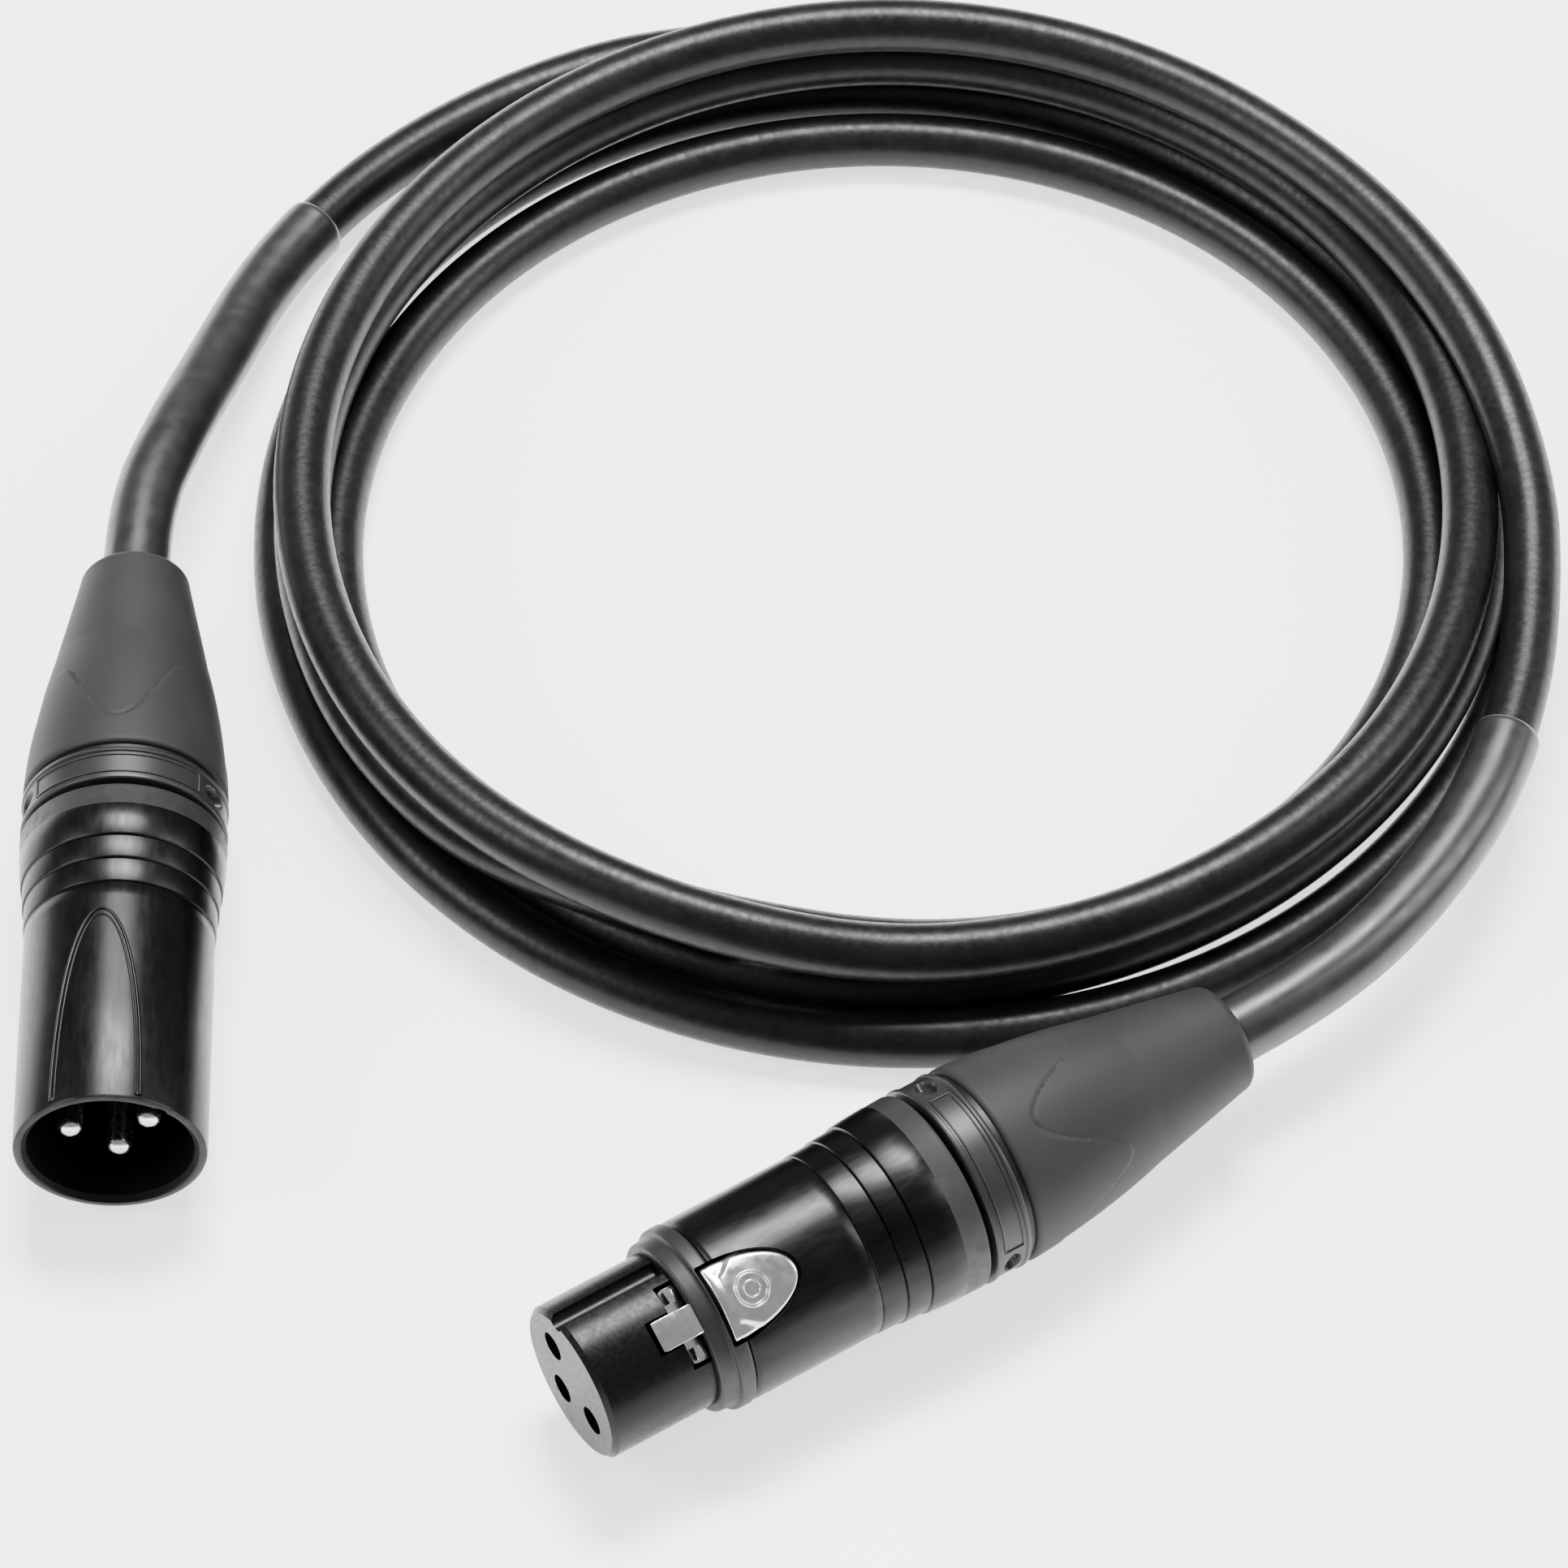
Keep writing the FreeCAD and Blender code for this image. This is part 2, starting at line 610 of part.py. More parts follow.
def make_male():
    bore = size.shell_bore
    rear = size.male_shell_length
    shell = turned("male_shell", [
        (bore, 0.5),
        (bore + 0.5, 0),
        (size.shell_radius - size.rim_chamfer, 0),
        (size.shell_radius, size.rim_chamfer),
        *widening(MALE_STEPS),
        (size.shell_tail_radius, rear - 0.3),
        (size.shell_tail_radius - 0.3, rear),
        (size.thread_bore, rear),
        (size.thread_bore, rear - size.thread_length),
        (bore, rear - size.thread_length),
    ])
    key = math.radians(size.key_angle.value)
    reach = size.keyway_centre.value
    cut(shell, "male_keyway", "XY_Plane", -1.0, size.keyway_depth + 1.0, lambda sketch: draw_circle(
        sketch, reach * math.cos(key), reach * math.sin(key), size.keyway_radius))
    finished("male_shell", shell, MALE)

    insert = turned("male_insert", [
        (0, size.cavity_depth),
        (size.insert_radius, size.cavity_depth),
        (size.insert_radius, 15.5),
        (size.clip_seat, 15.5),
        (size.clip_seat, 18.1),
        (size.insert_radius, 18.1),
        (size.insert_radius, size.insert_end),
        (6.8, size.insert_end),
        (6.8, 21.0),
        (0, 21.0),
    ])

    def holes(sketch):
        for across, along in CONTACTS:
            draw_circle(sketch, across, along, size.pin_root + 0.01)

    cut(insert, "male_insert_holes", "XY_Plane", 12.0, 12.0, holes)
    finished("male_insert", insert, MALE)

    cup_start = size.male_cup_start
    for number, (across, along) in enumerate(CONTACTS, start=1):
        pin = turned(f"male_pin_{'abc'[number - 1]}", [
            (0, size.pin_recess),
            (size.pin_radius - 0.8, size.pin_recess),
            (size.pin_radius, size.pin_recess + 0.8),
            (size.pin_radius, size.cavity_depth),
            (size.pin_root, size.cavity_depth),
            (size.pin_root, cup_start),
            (size.cup_radius, cup_start),
            (size.cup_radius, cup_start + size.cup_length),
            (size.cup_bore, cup_start + size.cup_length),
            (size.cup_bore, cup_start + 0.8),
            (0, cup_start + 0.8),
        ], {1: 0.8})
        finished(f"male_pin_{number}", pin, moved(MALE, across, along))
    ground_clip("male_ground_clip", MALE, as_length(15.6), (-11.0, 0.0))
    make_back_end("male", MALE, rear, cup_start + size.cup_length)


def make_female():
    rear = size.female_shell_end
    start = size.female_shell_start
    shell = turned("female_shell", [
        (size.shell_bore, start),
        (size.shell_radius - 0.8, start),
        (size.shell_radius, start + 0.8),
        *widening(FEMALE_STEPS),
        (size.shell_tail_radius, rear - 0.3),
        (size.shell_tail_radius - 0.3, rear),
        (size.thread_bore, rear),
        (size.thread_bore, rear - size.thread_length),
        (size.shell_bore, rear - size.thread_length),
    ])
    cut(shell, "tab_window", "YZ_Plane", 5.0, 8.0, tab_outline(size.tab_gap))
    finished("female_shell", shell, FEMALE)

    insert = turned("female_insert", [
        (0, 0),
        (size.nose_radius - 0.5, 0),
        (size.nose_radius, 0.5),
        (size.nose_radius, size.gasket_start),
        (size.insert_body, size.gasket_start),
        (size.insert_body, 18.0),
        (size.insert_body - 0.1, 18.0),
        (size.insert_body - 0.1, 20.6),
        (size.insert_body, 20.6),
        (size.insert_body, 26.8),
        (0, 26.8),
    ])
    channel = size.latch_half_width + 0.4
    floor = size.latch_floor
    cut(insert, "tooth_window", "YZ_Plane", floor, 6.0, rectangle(-1.75, 1.75, 6.9, 12.4))
    cut(insert, "side_windows", "YZ_Plane", floor, 6.0, rectangle(-channel, channel, 9.5, 12.4))
    cut(insert, "arm_tunnel", "YZ_Plane", floor, size.latch_arm_top - floor + 0.25,
        rectangle(-channel, channel, 12.3, 13.5))
    cut(insert, "latch_channel", "YZ_Plane", floor, 6.0, rectangle(-channel, channel, 13.4, 27.5))

    def socket_seats(sketch):
        for across, along in CONTACTS:
            draw_circle(sketch, across, along, size.socket_radius + 0.01)

    def mouths(sketch):
        for across, along in CONTACTS:
            draw_circle(sketch, across, along, size.socket_bore + 0.25)

    cut(insert, "socket_seats", "XY_Plane", 1.2, 27.0, socket_seats)
    cut(insert, "socket_mouths", "XY_Plane", -1.0, 3.0, mouths)
    key = -math.radians(size.key_angle.value)
    reach = size.nose_radius.value
    cut(insert, "key_groove", "XY_Plane", -1.0, size.keyway_depth + 1.3, lambda sketch: draw_circle(
        sketch, reach * math.cos(key), reach * math.sin(key), size.keyway_radius))
    cut(insert, "pivot_holes", "XZ_Plane", -9.0, 18.0, lambda sketch: draw_circle(
        sketch, size.latch_pivot_height, size.latch_pivot_station, size.latch_pivot_radius + 0.01))
    finished("female_insert", insert, FEMALE)

    cup_start = size.female_cup_start
    cup_end = cup_start + size.female_cup_length
    for number, (across, along) in enumerate(CONTACTS, start=1):
        socket = turned(f"female_socket_{'abc'[number - 1]}", [
            (size.socket_bore, size.socket_start),
            (size.socket_radius, size.socket_start),
            (size.socket_radius, cup_start),
            (size.cup_radius, cup_start),
            (size.cup_radius, cup_end),
            (size.cup_bore, cup_end),
            (size.cup_bore, cup_start),
            (0, cup_start),
            (0, size.socket_start + size.socket_depth),
            (size.socket_bore, size.socket_start + size.socket_depth),
        ])
        finished(f"female_socket_{number}", socket, moved(FEMALE, across, along))

    gasket = turned("female_gasket", [
        (size.insert_body + 0.02, size.gasket_start),
        (size.gasket_small - 0.3, size.gasket_start),
        (size.gasket_small, size.gasket_start + 0.3),
        (size.gasket_small, size.gasket_step),
        (size.gasket_large - 0.2, size.gasket_step),
        (size.gasket_large, size.gasket_step + 0.2),
        (size.gasket_large, start - 0.2),
        (size.gasket_large - 0.2, start),
        (size.insert_body + 0.02, start),
    ])
    cut(gasket, "gasket_notch", "YZ_Plane", 5.0, 8.0, tab_outline(size.tab_gap))
    finished("female_gasket", gasket, FEMALE)

    latch = new_body("female_latch")

    def pad(name, role, offset, height, draw):
        sketch = new_sketch(latch, f"{name}_outline", role, offset)
        draw(sketch)
        block = latch.newObject("PartDesign::Pad", name)
        block.Profile = sketch
        block.Length = as_length(height).value
        if isinstance(height, Length):
            block.setExpression("Length", height.formula)
        doc.recompute()
        return block

    half = size.latch_half_width
    bottom = size.latch_arm_bottom
    pad("latch_arm", "YZ_Plane", bottom, size.latch_arm_top - bottom, rectangle(-half, half, 9.8, 23.4))
    tooth_side = [(bottom, 7.4), (size.latch_tooth_top - 1.6, 7.4), (size.latch_tooth_top, 9.6),
                  (size.latch_tooth_top, 11.5), (bottom, 11.5)]
    tooth = pad("latch_tooth", "XZ_Plane", 0, 3.0, lambda sketch: draw_outline(sketch, tooth_side))
    tooth.Midplane = True
    hub_side = [(5.0, 22.9), (6.2, 22.7), (7.2, 23.6), (7.2, 25.4), (6.9, 26.1), (5.5, 26.1), (4.8, 25.4)]
    hub = pad("latch_hub", "XZ_Plane", 0, 6.4, lambda sketch: draw_outline(sketch, hub_side))
    hub.Midplane = True
    pad("release_tab", "YZ_Plane", 6.0, size.tab_radius - 6.0, tab_outline(0))
    doc.recompute()
    for side, left in (("left", -3.8), ("right", 2.1)):
        pad(f"latch_wing_{side}", "YZ_Plane", 6.0, 0.85, rectangle(left, left + 1.7, 9.8, 11.4))
    cut(latch, "latch_eye", "XZ_Plane", -9.0, 18.0, lambda sketch: draw_circle(
        sketch, size.latch_pivot_height, size.latch_pivot_station, size.latch_pivot_radius + 0.05))
    latch_round = doc.addObject("Part::Cylinder", "tab_crown")
    latch_round.setExpression("Radius", "Sizes.tab_radius")
    latch_round.Height = 60
    latch_round.Placement = Placement(Vector(0, 0, -5), Rotation())
    crowned = doc.addObject("Part::Common", "female_latch_crowned")
    crowned.Base = latch
    crowned.Tool = latch_round
    finished("female_latch", crowned, FEMALE)

    pivot = doc.addObject("Part::Cylinder", "female_latch_pivot_pin")
    pivot.setExpression("Radius", "Sizes.latch_pivot_radius")
    pivot.setExpression("Height", "2 * Sizes.latch_pivot_half")
    station, height = size.latch_pivot_station.value, size.latch_pivot_height.value
    seat = Placement(Vector(height, size.latch_pivot_half.value, station), Rotation(Vector(1, 0, 0), 90))
    finished("female_latch_pivot", pivot, FEMALE * seat)

    spring = new_body("female_latch_spring")
    sketch = new_sketch(spring, "spring_side", "XZ_Plane")
    draw_outline(sketch, [(3.22, 21.5), (3.47, 21.5), (3.9, 14.6), (3.65, 14.5), (3.22, 17.5)])
    strip = spring.newObject("PartDesign::Pad", "spring_strip")
    strip.Profile = sketch
    strip.Length = 3.0
    strip.Midplane = True
    doc.recompute()
    finished("female_latch_spring", spring, FEMALE)

    ground_clip("female_ground_clip", FEMALE, as_length(18.1), (0.0, 11.0))
    make_back_end("female", FEMALE, rear, cup_end)


def check_and_write():
    """Stops on any failed object or bad shape, then writes one file per sub-part."""
    doc.recompute()
    for thing in doc.Objects:
        bad = [state for state in thing.State if state in ("Invalid", "Error")]
        if bad:
            raise RuntimeError(f"{thing.Name} is {bad}")
    for node, thing in parts.items():
        if thing.Shape.isNull() or not thing.Shape.isValid():
            raise RuntimeError(f"{node} has a bad shape")
        if len(thing.Shape.Solids) < 1:
            raise RuntimeError(f"{node} has no solid")
    os.makedirs("parts", exist_ok=True)
    for node, thing in parts.items():
        thing.Shape.exportStep(f"parts/{node}.step")
        box = thing.Shape.BoundBox
        print(f"{node}: {thing.Shape.Volume:.1f} mm3, {len(thing.Shape.Solids)} solid,"
              f" x {box.XMin:.2f} to {box.XMax:.2f}, y {box.YMin:.2f} to {box.YMax:.2f},"
              f" z {box.ZMin:.2f} to {box.ZMax:.2f}")


make_male()
make_female()
make_leads()
make_coil()
check_and_write()
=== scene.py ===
import json
import math

import bmesh
import bpy
from mathutils import Matrix, Vector


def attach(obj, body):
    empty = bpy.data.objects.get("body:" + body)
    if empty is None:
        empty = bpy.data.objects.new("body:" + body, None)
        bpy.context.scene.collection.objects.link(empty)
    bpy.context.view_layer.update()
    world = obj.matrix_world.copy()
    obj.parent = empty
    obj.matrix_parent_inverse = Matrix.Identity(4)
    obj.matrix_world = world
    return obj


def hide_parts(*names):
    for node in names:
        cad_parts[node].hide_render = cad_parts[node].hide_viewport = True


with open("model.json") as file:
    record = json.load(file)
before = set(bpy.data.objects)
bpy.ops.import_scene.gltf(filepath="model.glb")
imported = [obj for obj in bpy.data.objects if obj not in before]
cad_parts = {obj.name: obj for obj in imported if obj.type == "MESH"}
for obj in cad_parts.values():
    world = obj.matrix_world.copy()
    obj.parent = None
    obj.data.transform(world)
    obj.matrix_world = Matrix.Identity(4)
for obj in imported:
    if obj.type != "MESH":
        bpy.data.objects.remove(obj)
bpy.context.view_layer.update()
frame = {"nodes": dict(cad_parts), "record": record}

# The looks of a loosely coiled microphone cable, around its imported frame. Places in the frame
# are in metres. Sizes of the connectors and of the coil are in millimetres; a connector's are in
# its own frame: height and side across its axis, and station along it from the mating face.

MM = 0.001

ROOT = "cable"
CORD_RADIUS = 2.95
SLEEVE_RADIUS = 3.45
SHARP_ANGLE = 35  # degrees
NOSE_MOUNT_DEPTH = 6.0


# ---------------------------------------------------------------- frames of the two connectors
class Seat:
    """A connector's own frame: X to its key, Z from its mating face to its cord."""

    def __init__(self, origin, up, back):
        back = back.normalized()
        up = (up - back * up.dot(back)).normalized()
        side = back.cross(up)
        self.matrix = Matrix((
            (up.x, side.x, back.x, origin.x),
            (up.y, side.y, back.y, origin.y),
            (up.z, side.z, back.z, origin.z),
            (0, 0, 0, 1),
        ))

    def at(self, height, side, station):
        return self.matrix @ (Vector((height, side, station)) * MM)

    def round(self, radius, turn, station):
        return self.at(radius * math.cos(turn), radius * math.sin(turn), station)


def find_seats():
    mounts = {mount["name"]: mount for mount in frame["record"]["mounts"]}
    place = {name: Vector(mount["pos_m"]) for name, mount in mounts.items()}
    ahead = {name: Vector(mount["axis"]) for name, mount in mounts.items()}
    male_up = (place["male_pin_1"] + place["male_pin_2"]) / 2 - place["male_pin_3"]
    male = Seat(place["male_shell_mouth"], male_up, -ahead["male_shell_mouth"])
    pair = (place["female_socket_1"] + place["female_socket_2"]) / 2
    female_up = pair - place["female_socket_3"]
    nose_face = place["female_nose"] + ahead["female_nose"] * NOSE_MOUNT_DEPTH * MM
    female = Seat(nose_face, female_up, -ahead["female_nose"])
    return male, female


MALE, FEMALE = find_seats()
MALE_HEADING = 91.5  # degrees on the floor
FEMALE_HEADING = 32.5

# The shells.
MALE_REAR = 37.5
FEMALE_REAR = 41.1
SHELL_RADIUS = 9.5
SHELL_BORE = 8.2
SHELL_REAR_BORE = 8.35
SHELL_INNER_STEP = 26.5
SHELL_FRONT = 15.0
MALE_BAND_START = 35.02
FEMALE_BAND_START = 38.42
KEY_TURN = math.radians(48)
KEY_CENTRE = 7.9
KEY_RADIUS = 1.1
KEY_DEPTH = 11.0
ARCH_TURN = 4.0  # degrees

# Behind each shell, from its rear face.
BOOT_START = 5.3
BOOT_SEAT = 7.4
BOOT_SEAT_END = 15.02
BOOT_CORD_HOLE = 3.75
BOOT_FRONT_RADIUS = 10.42
BOOT_WAIST = 22.0
BOOT_WAIST_RADIUS = 7.95
BOOT_SAG = 0.447
BOOT_END = 34.5
BOOT_END_RADIUS = 5.45
BOOT_ROUNDING = 1.3
SEAM_FRONT = 9.0
SEAM_RISE = 8.6
SEAM_SCALLOPS = 4
SEAM_DEPTH = 0.1
SEAM_GROOVE = 0.16
RING_FIELD_TURN = math.radians(52)
RING_SLOT_TURN = math.radians(67)

# The release tab, and which way each end's marks face.
TAB_START = 13.8
TAB_SHOULDER = 14.8
TAB_TIP = 22.3
TAB_HALF = 3.85
TAB_RADIUS = 9.85
TAB_GAP = 0.35
TAB_MIDDLE = 17.0
MALE_FACING = math.radians(8)
FEMALE_FACING = math.radians(4)
FEMALE_SEAM_FACING = math.radians(-7)

# The label sleeves' surface.
SLEEVE_DRAWN_IN = 0.16
SLEEVE_EDGE = 0.45
SLEEVE_WRINKLE = 0.012

# The view and its light.
CAMERA_PLACE = (0.01551, -0.37762, 0.5314)
CAMERA_LOOKS_DOWN = 52.246  # degrees
CAMERA_LENS = 149.07
FLOOR_REACH = 3.0
FLOOR_GLOW = 1.7
SKY_STRENGTH = 0.32
LIGHTS = (
    # name, place, width, height, watts
    ("over_light", (0.05, 0.42, 0.95), 0.5, 0.26, 26.0),
    ("left_light", (-0.8, -0.1, 0.7), 0.4, 0.4, 7.0),
    ("right_light", (0.85, 0.1, 0.6), 0.25, 0.6, 5.0),
)


# ---------------------------------------------------------------- materials
def new_material(name, color, roughness, metallic=0.0, specular=0.5, coat=0.0,
                 coat_roughness=0.1):
    material = bpy.data.materials.new(name)
    material.use_nodes = True
    shader = material.node_tree.nodes["Principled BSDF"]
    shader.inputs["Base Color"].default_value = (*color, 1)
    shader.inputs["Roughness"].default_value = roughness
    shader.inputs["Metallic"].default_value = metallic
    shader.inputs["Specular IOR Level"].default_value = specular
    shader.inputs["Coat Weight"].default_value = coat
    shader.inputs["Coat Roughness"].default_value = coat_roughness
    return material


def add_noise(material, scale, detail=3.0, streak=1.0, heading=0.0):
    """A noise in the object's own metres, drawn out along a heading on the floor."""
    tree = material.node_tree
    place = tree.nodes.new("ShaderNodeTexCoord")
    mapping = tree.nodes.new("ShaderNodeMapping")
    mapping.vector_type = "TEXTURE"
    mapping.inputs["Rotation"].default_value = (0, 0, math.radians(heading))
    mapping.inputs["Scale"].default_value = (streak, 1, 1)
    noise = tree.nodes.new("ShaderNodeTexNoise")
    noise.inputs["Scale"].default_value = scale
    noise.inputs["Detail"].default_value = detail
    tree.links.new(place.outputs["Object"], mapping.inputs["Vector"])
    tree.links.new(mapping.outputs["Vector"], noise.inputs["Vector"])
    return noise.outputs["Fac"]


def vary(material, value, socket, low, high):
    """Runs a shader's socket from low to high with a noise."""
    tree = material.node_tree
    ramp = tree.nodes.new("ShaderNodeMapRange")
    ramp.inputs["From Min"].default_value = 0.3
    ramp.inputs["From Max"].default_value = 0.7
    ramp.inputs["To Min"].default_value = low
    ramp.inputs["To Max"].default_value = high
    tree.links.new(value, ramp.inputs["Value"])
    tree.links.new(ramp.outputs["Result"], tree.nodes["Principled BSDF"].inputs[socket])


def tint(material, value, dark, light):
    """Runs the base colour between two greys or colours with a noise."""
    tree = material.node_tree
    ramp = tree.nodes.new("ShaderNodeValToRGB")
    ramp.color_ramp.elements[0].position = 0.35
    ramp.color_ramp.elements[1].position = 0.65
    ramp.color_ramp.elements[0].color = (*dark, 1)
    ramp.color_ramp.elements[1].color = (*light, 1)
    tree.links.new(value, ramp.inputs["Fac"])
    tree.links.new(ramp.outputs["Color"], tree.nodes["Principled BSDF"].inputs["Base Color"])


def bump(material, value, depth_mm, strength=1.0):
    """Raises the surface by a noise."""
    tree = material.node_tree
    node = tree.nodes.new("ShaderNodeBump")
    node.inputs["Strength"].default_value = strength
    node.inputs["Distance"].default_value = depth_mm * MM
    tree.links.new(value, node.inputs["Height"])
    tree.links.new(node.outputs["Normal"], tree.nodes["Principled BSDF"].inputs["Normal"])


def make_black_chrome(name, heading):
    shell = new_material(name, (0.022, 0.022, 0.022), 0.32, metallic=1.0)
    tint(shell, add_noise(shell, 500, 3, 5, heading),
         (0.018, 0.018, 0.0182), (0.025, 0.025, 0.025))
    vary(shell, add_noise(shell, 1800, 3, 4, heading), "Roughness", 0.28, 0.37)
    bump(shell, add_noise(shell, 2200, 3, 4, heading), 0.008, 0.5)
    return shell


def make_materials():
    looks = {}
    jacket = looks["jacket"] = new_material(
        "jacket_black", (0.004, 0.004, 0.004), 0.36, specular=0.24)
    grain = add_noise(jacket, 1300, 4)
    tint(jacket, add_noise(jacket, 260, 3), (0.0034, 0.0034, 0.0036), (0.0066, 0.0066, 0.0065))
    vary(jacket, grain, "Roughness", 0.3, 0.44)
    bump(jacket, grain, 0.05, 0.6)

    looks["male_shell"] = make_black_chrome("male_black_chrome", MALE_HEADING)
    looks["female_shell"] = make_black_chrome("female_black_chrome", FEMALE_HEADING)

    band = looks["band"] = new_material("matte_band", (0.016, 0.016, 0.0165), 0.5, specular=0.35)
    vary(band, add_noise(band, 900, 3), "Roughness", 0.42, 0.6)
    bump(band, add_noise(band, 3000, 2), 0.012, 0.5)

    rubber = looks["boot"] = new_material("boot_rubber", (0.02, 0.02, 0.02), 0.6, specular=0.3)
    tint(rubber, add_noise(rubber, 120, 2), (0.015, 0.015, 0.0153), (0.019, 0.019, 0.019))
    bump(rubber, add_noise(rubber, 3500, 2), 0.02, 0.5)

    ring = looks["ring"] = new_material("ring_plastic", (0.014, 0.014, 0.0145), 0.4, specular=0.4)
    tint(ring, add_noise(ring, 150, 2), (0.012, 0.012, 0.0125), (0.017, 0.017, 0.017))
    bump(ring, add_noise(ring, 3000, 2), 0.012, 0.5)

    dark = looks["dark"] = new_material("insert_black", (0.003, 0.003, 0.003), 0.4, specular=0.3)
    bump(dark, add_noise(dark, 3000, 2), 0.012, 0.5)
    vary(dark, add_noise(dark, 400, 3), "Roughness", 0.34, 0.5)

    bore = looks["bore"] = new_material("bore_black", (0.002, 0.002, 0.002), 0.6, specular=0.12)
    vary(bore, add_noise(bore, 600, 3), "Roughness", 0.55, 0.7)

    nose = looks["nose"] = new_material("nose_satin", (0.003, 0.003, 0.003), 0.28, specular=0.16)
    fine = add_noise(nose, 2200, 3)
    vary(nose, fine, "Roughness", 0.24, 0.38)
    bump(nose, fine, 0.012, 0.6)

    gasket = looks["gasket"] = new_material(
        "gasket_rubber", (0.013, 0.013, 0.0135), 0.46, specular=0.35)
    bump(gasket, add_noise(gasket, 2800, 2), 0.015, 0.5)
    vary(gasket, add_noise(gasket, 500, 3), "Roughness", 0.4, 0.54)

    chrome = looks["chrome"] = new_material("bright_chrome", (0.86, 0.86, 0.86), 0.16, metallic=1.0)
    vary(chrome, add_noise(chrome, 900, 3), "Roughness", 0.12, 0.26)
    bump(chrome, add_noise(chrome, 1600, 2), 0.004, 0.6)

    silver = looks["silver"] = new_material("silver_contact", (0.8, 0.79, 0.77), 0.22, metallic=1.0)
    vary(silver, add_noise(silver, 1800, 3), "Roughness", 0.18, 0.3)

    steel = looks["steel"] = new_material("spring_steel", (0.5, 0.5, 0.51), 0.3, metallic=1.0)
    vary(steel, add_noise(steel, 1200, 3), "Roughness", 0.22, 0.4)

    sleeve = looks["sleeve"] = new_material(
        "shrunk_sleeve", (0.016, 0.016, 0.0165), 0.36, specular=0.5, coat=0.2, coat_roughness=0.25)
    tint(sleeve, add_noise(sleeve, 180, 3), (0.010, 0.010, 0.0102), (0.014, 0.014, 0.014))
    vary(sleeve, add_noise(sleeve, 500, 3), "Roughness", 0.3, 0.44)
    bump(sleeve, add_noise(sleeve, 420, 3), 0.03, 0.3)

    # The sleeve's cut edge: a lighter grey than the sleeve itself, a painted highlight.
    edge = looks["sleeve_edge_painted_highlight"] = new_material("sleeve_edge_painted_highlight", (0.07, 0.07, 0.07), 0.3, specular=0.6)
    tint(edge, add_noise(edge, 500, 3), (0.045, 0.045, 0.045), (0.1, 0.1, 0.1))

    clamp = looks["clamp"] = new_material("clamp_plastic", (0.42, 0.42, 0.40), 0.5)
    bump(clamp, add_noise(clamp, 2000, 2), 0.015, 0.5)
    for name, color in (("core_hot", (0.55, 0.03, 0.025)), ("core_cold", (0.03, 0.09, 0.42))):
        core = looks[name] = new_material(name, color, 0.4)
        bump(core, add_noise(core, 1500, 2), 0.02, 0.5)
    shield = looks["shield"] = new_material("shield_copper", (0.72, 0.40, 0.25), 0.35, metallic=1.0)
    bump(shield, add_noise(shield, 3000, 2), 0.05)

    floor = looks["floor"] = new_material("pale_floor", (0.95, 0.95, 0.95), 0.3, specular=0.3)
    vary(floor, add_noise(floor, 30, 2), "Roughness", 0.25, 0.32)
    glow = floor.node_tree.nodes["Principled BSDF"].inputs
    glow["Emission Color"].default_value = (1, 1, 1, 1)
    glow["Emission Strength"].default_value = FLOOR_GLOW
    return looks


LOOKS = make_materials()


# ---------------------------------------------------------------- mesh helpers
def show(name, data, body):
    """An object of the part that rides on a body and takes a slot's finish."""
    piece = bpy.data.objects.new(name, data)
    bpy.context.scene.collection.objects.link(piece)
    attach(piece, body)
    return piece


def filled_mesh(name, fill, materials):
    bm = bmesh.new()
    fill(bm)
    bmesh.ops.recalc_face_normals(bm, faces=bm.faces)
    mesh = bpy.data.meshes.new(name)
    bm.to_mesh(mesh)
    bm.free()
    for material in materials:
        mesh.materials.append(LOOKS[material])
    return mesh


def smoothed(mesh):
    for polygon in mesh.polygons:
        polygon.use_smooth = True
    mesh.set_sharp_from_angle(angle=math.radians(SHARP_ANGLE))
    return mesh


def new_piece(name, fill, materials, body, windows=None):
    """A smooth piece; fill puts it in a bmesh, and windows does so with what is cut out."""
    mesh = filled_mesh(name, fill, materials)
    if windows:
        mesh = without(mesh, filled_mesh("window", windows, materials[:1]))
    return show(name, smoothed(mesh), body)


def without(mesh, cutter_mesh):
    """The mesh with another one cut out of it."""
    solid = bpy.data.objects.new("solid", mesh)
    cutter = bpy.data.objects.new("cutter", cutter_mesh)
    for thing in (solid, cutter):
        bpy.context.scene.collection.objects.link(thing)
    difference = solid.modifiers.new("difference", "BOOLEAN")
    difference.operation = "DIFFERENCE"
    difference.solver = "EXACT"
    difference.object = cutter
    bpy.context.view_layer.update()
    evaluated = solid.evaluated_get(bpy.context.evaluated_depsgraph_get())
    result = bpy.data.meshes.new_from_object(evaluated)
    name = mesh.name
    bpy.data.objects.remove(solid)
    bpy.data.objects.remove(cutter)
    bpy.data.meshes.remove(cutter_mesh)
    bpy.data.meshes.remove(mesh)
    result.name = name
    return result


def rounded(outline, radius, steps=4):
    """A closed outline of (station, radius) with every corner rounded as far as its sides allow."""
    points = []
    count = len(outline)
    for index, corner in enumerate(outline):
        here = Vector(corner)
        before = Vector(outline[index - 1])
        after = Vector(outline[(index + 1) % count])
        reach = min(radius, 0.45 * (before - here).length, 0.45 * (after - here).length)
        start = here + (before - here).normalized() * reach
        end = here + (after - here).normalized() * reach
        for step in range(steps + 1):
            share = step / steps
            points.append((1 - share) ** 2 * start + 2 * share * (1 - share) * here
                          + share ** 2 * end)
    return [tuple(point) for point in points]


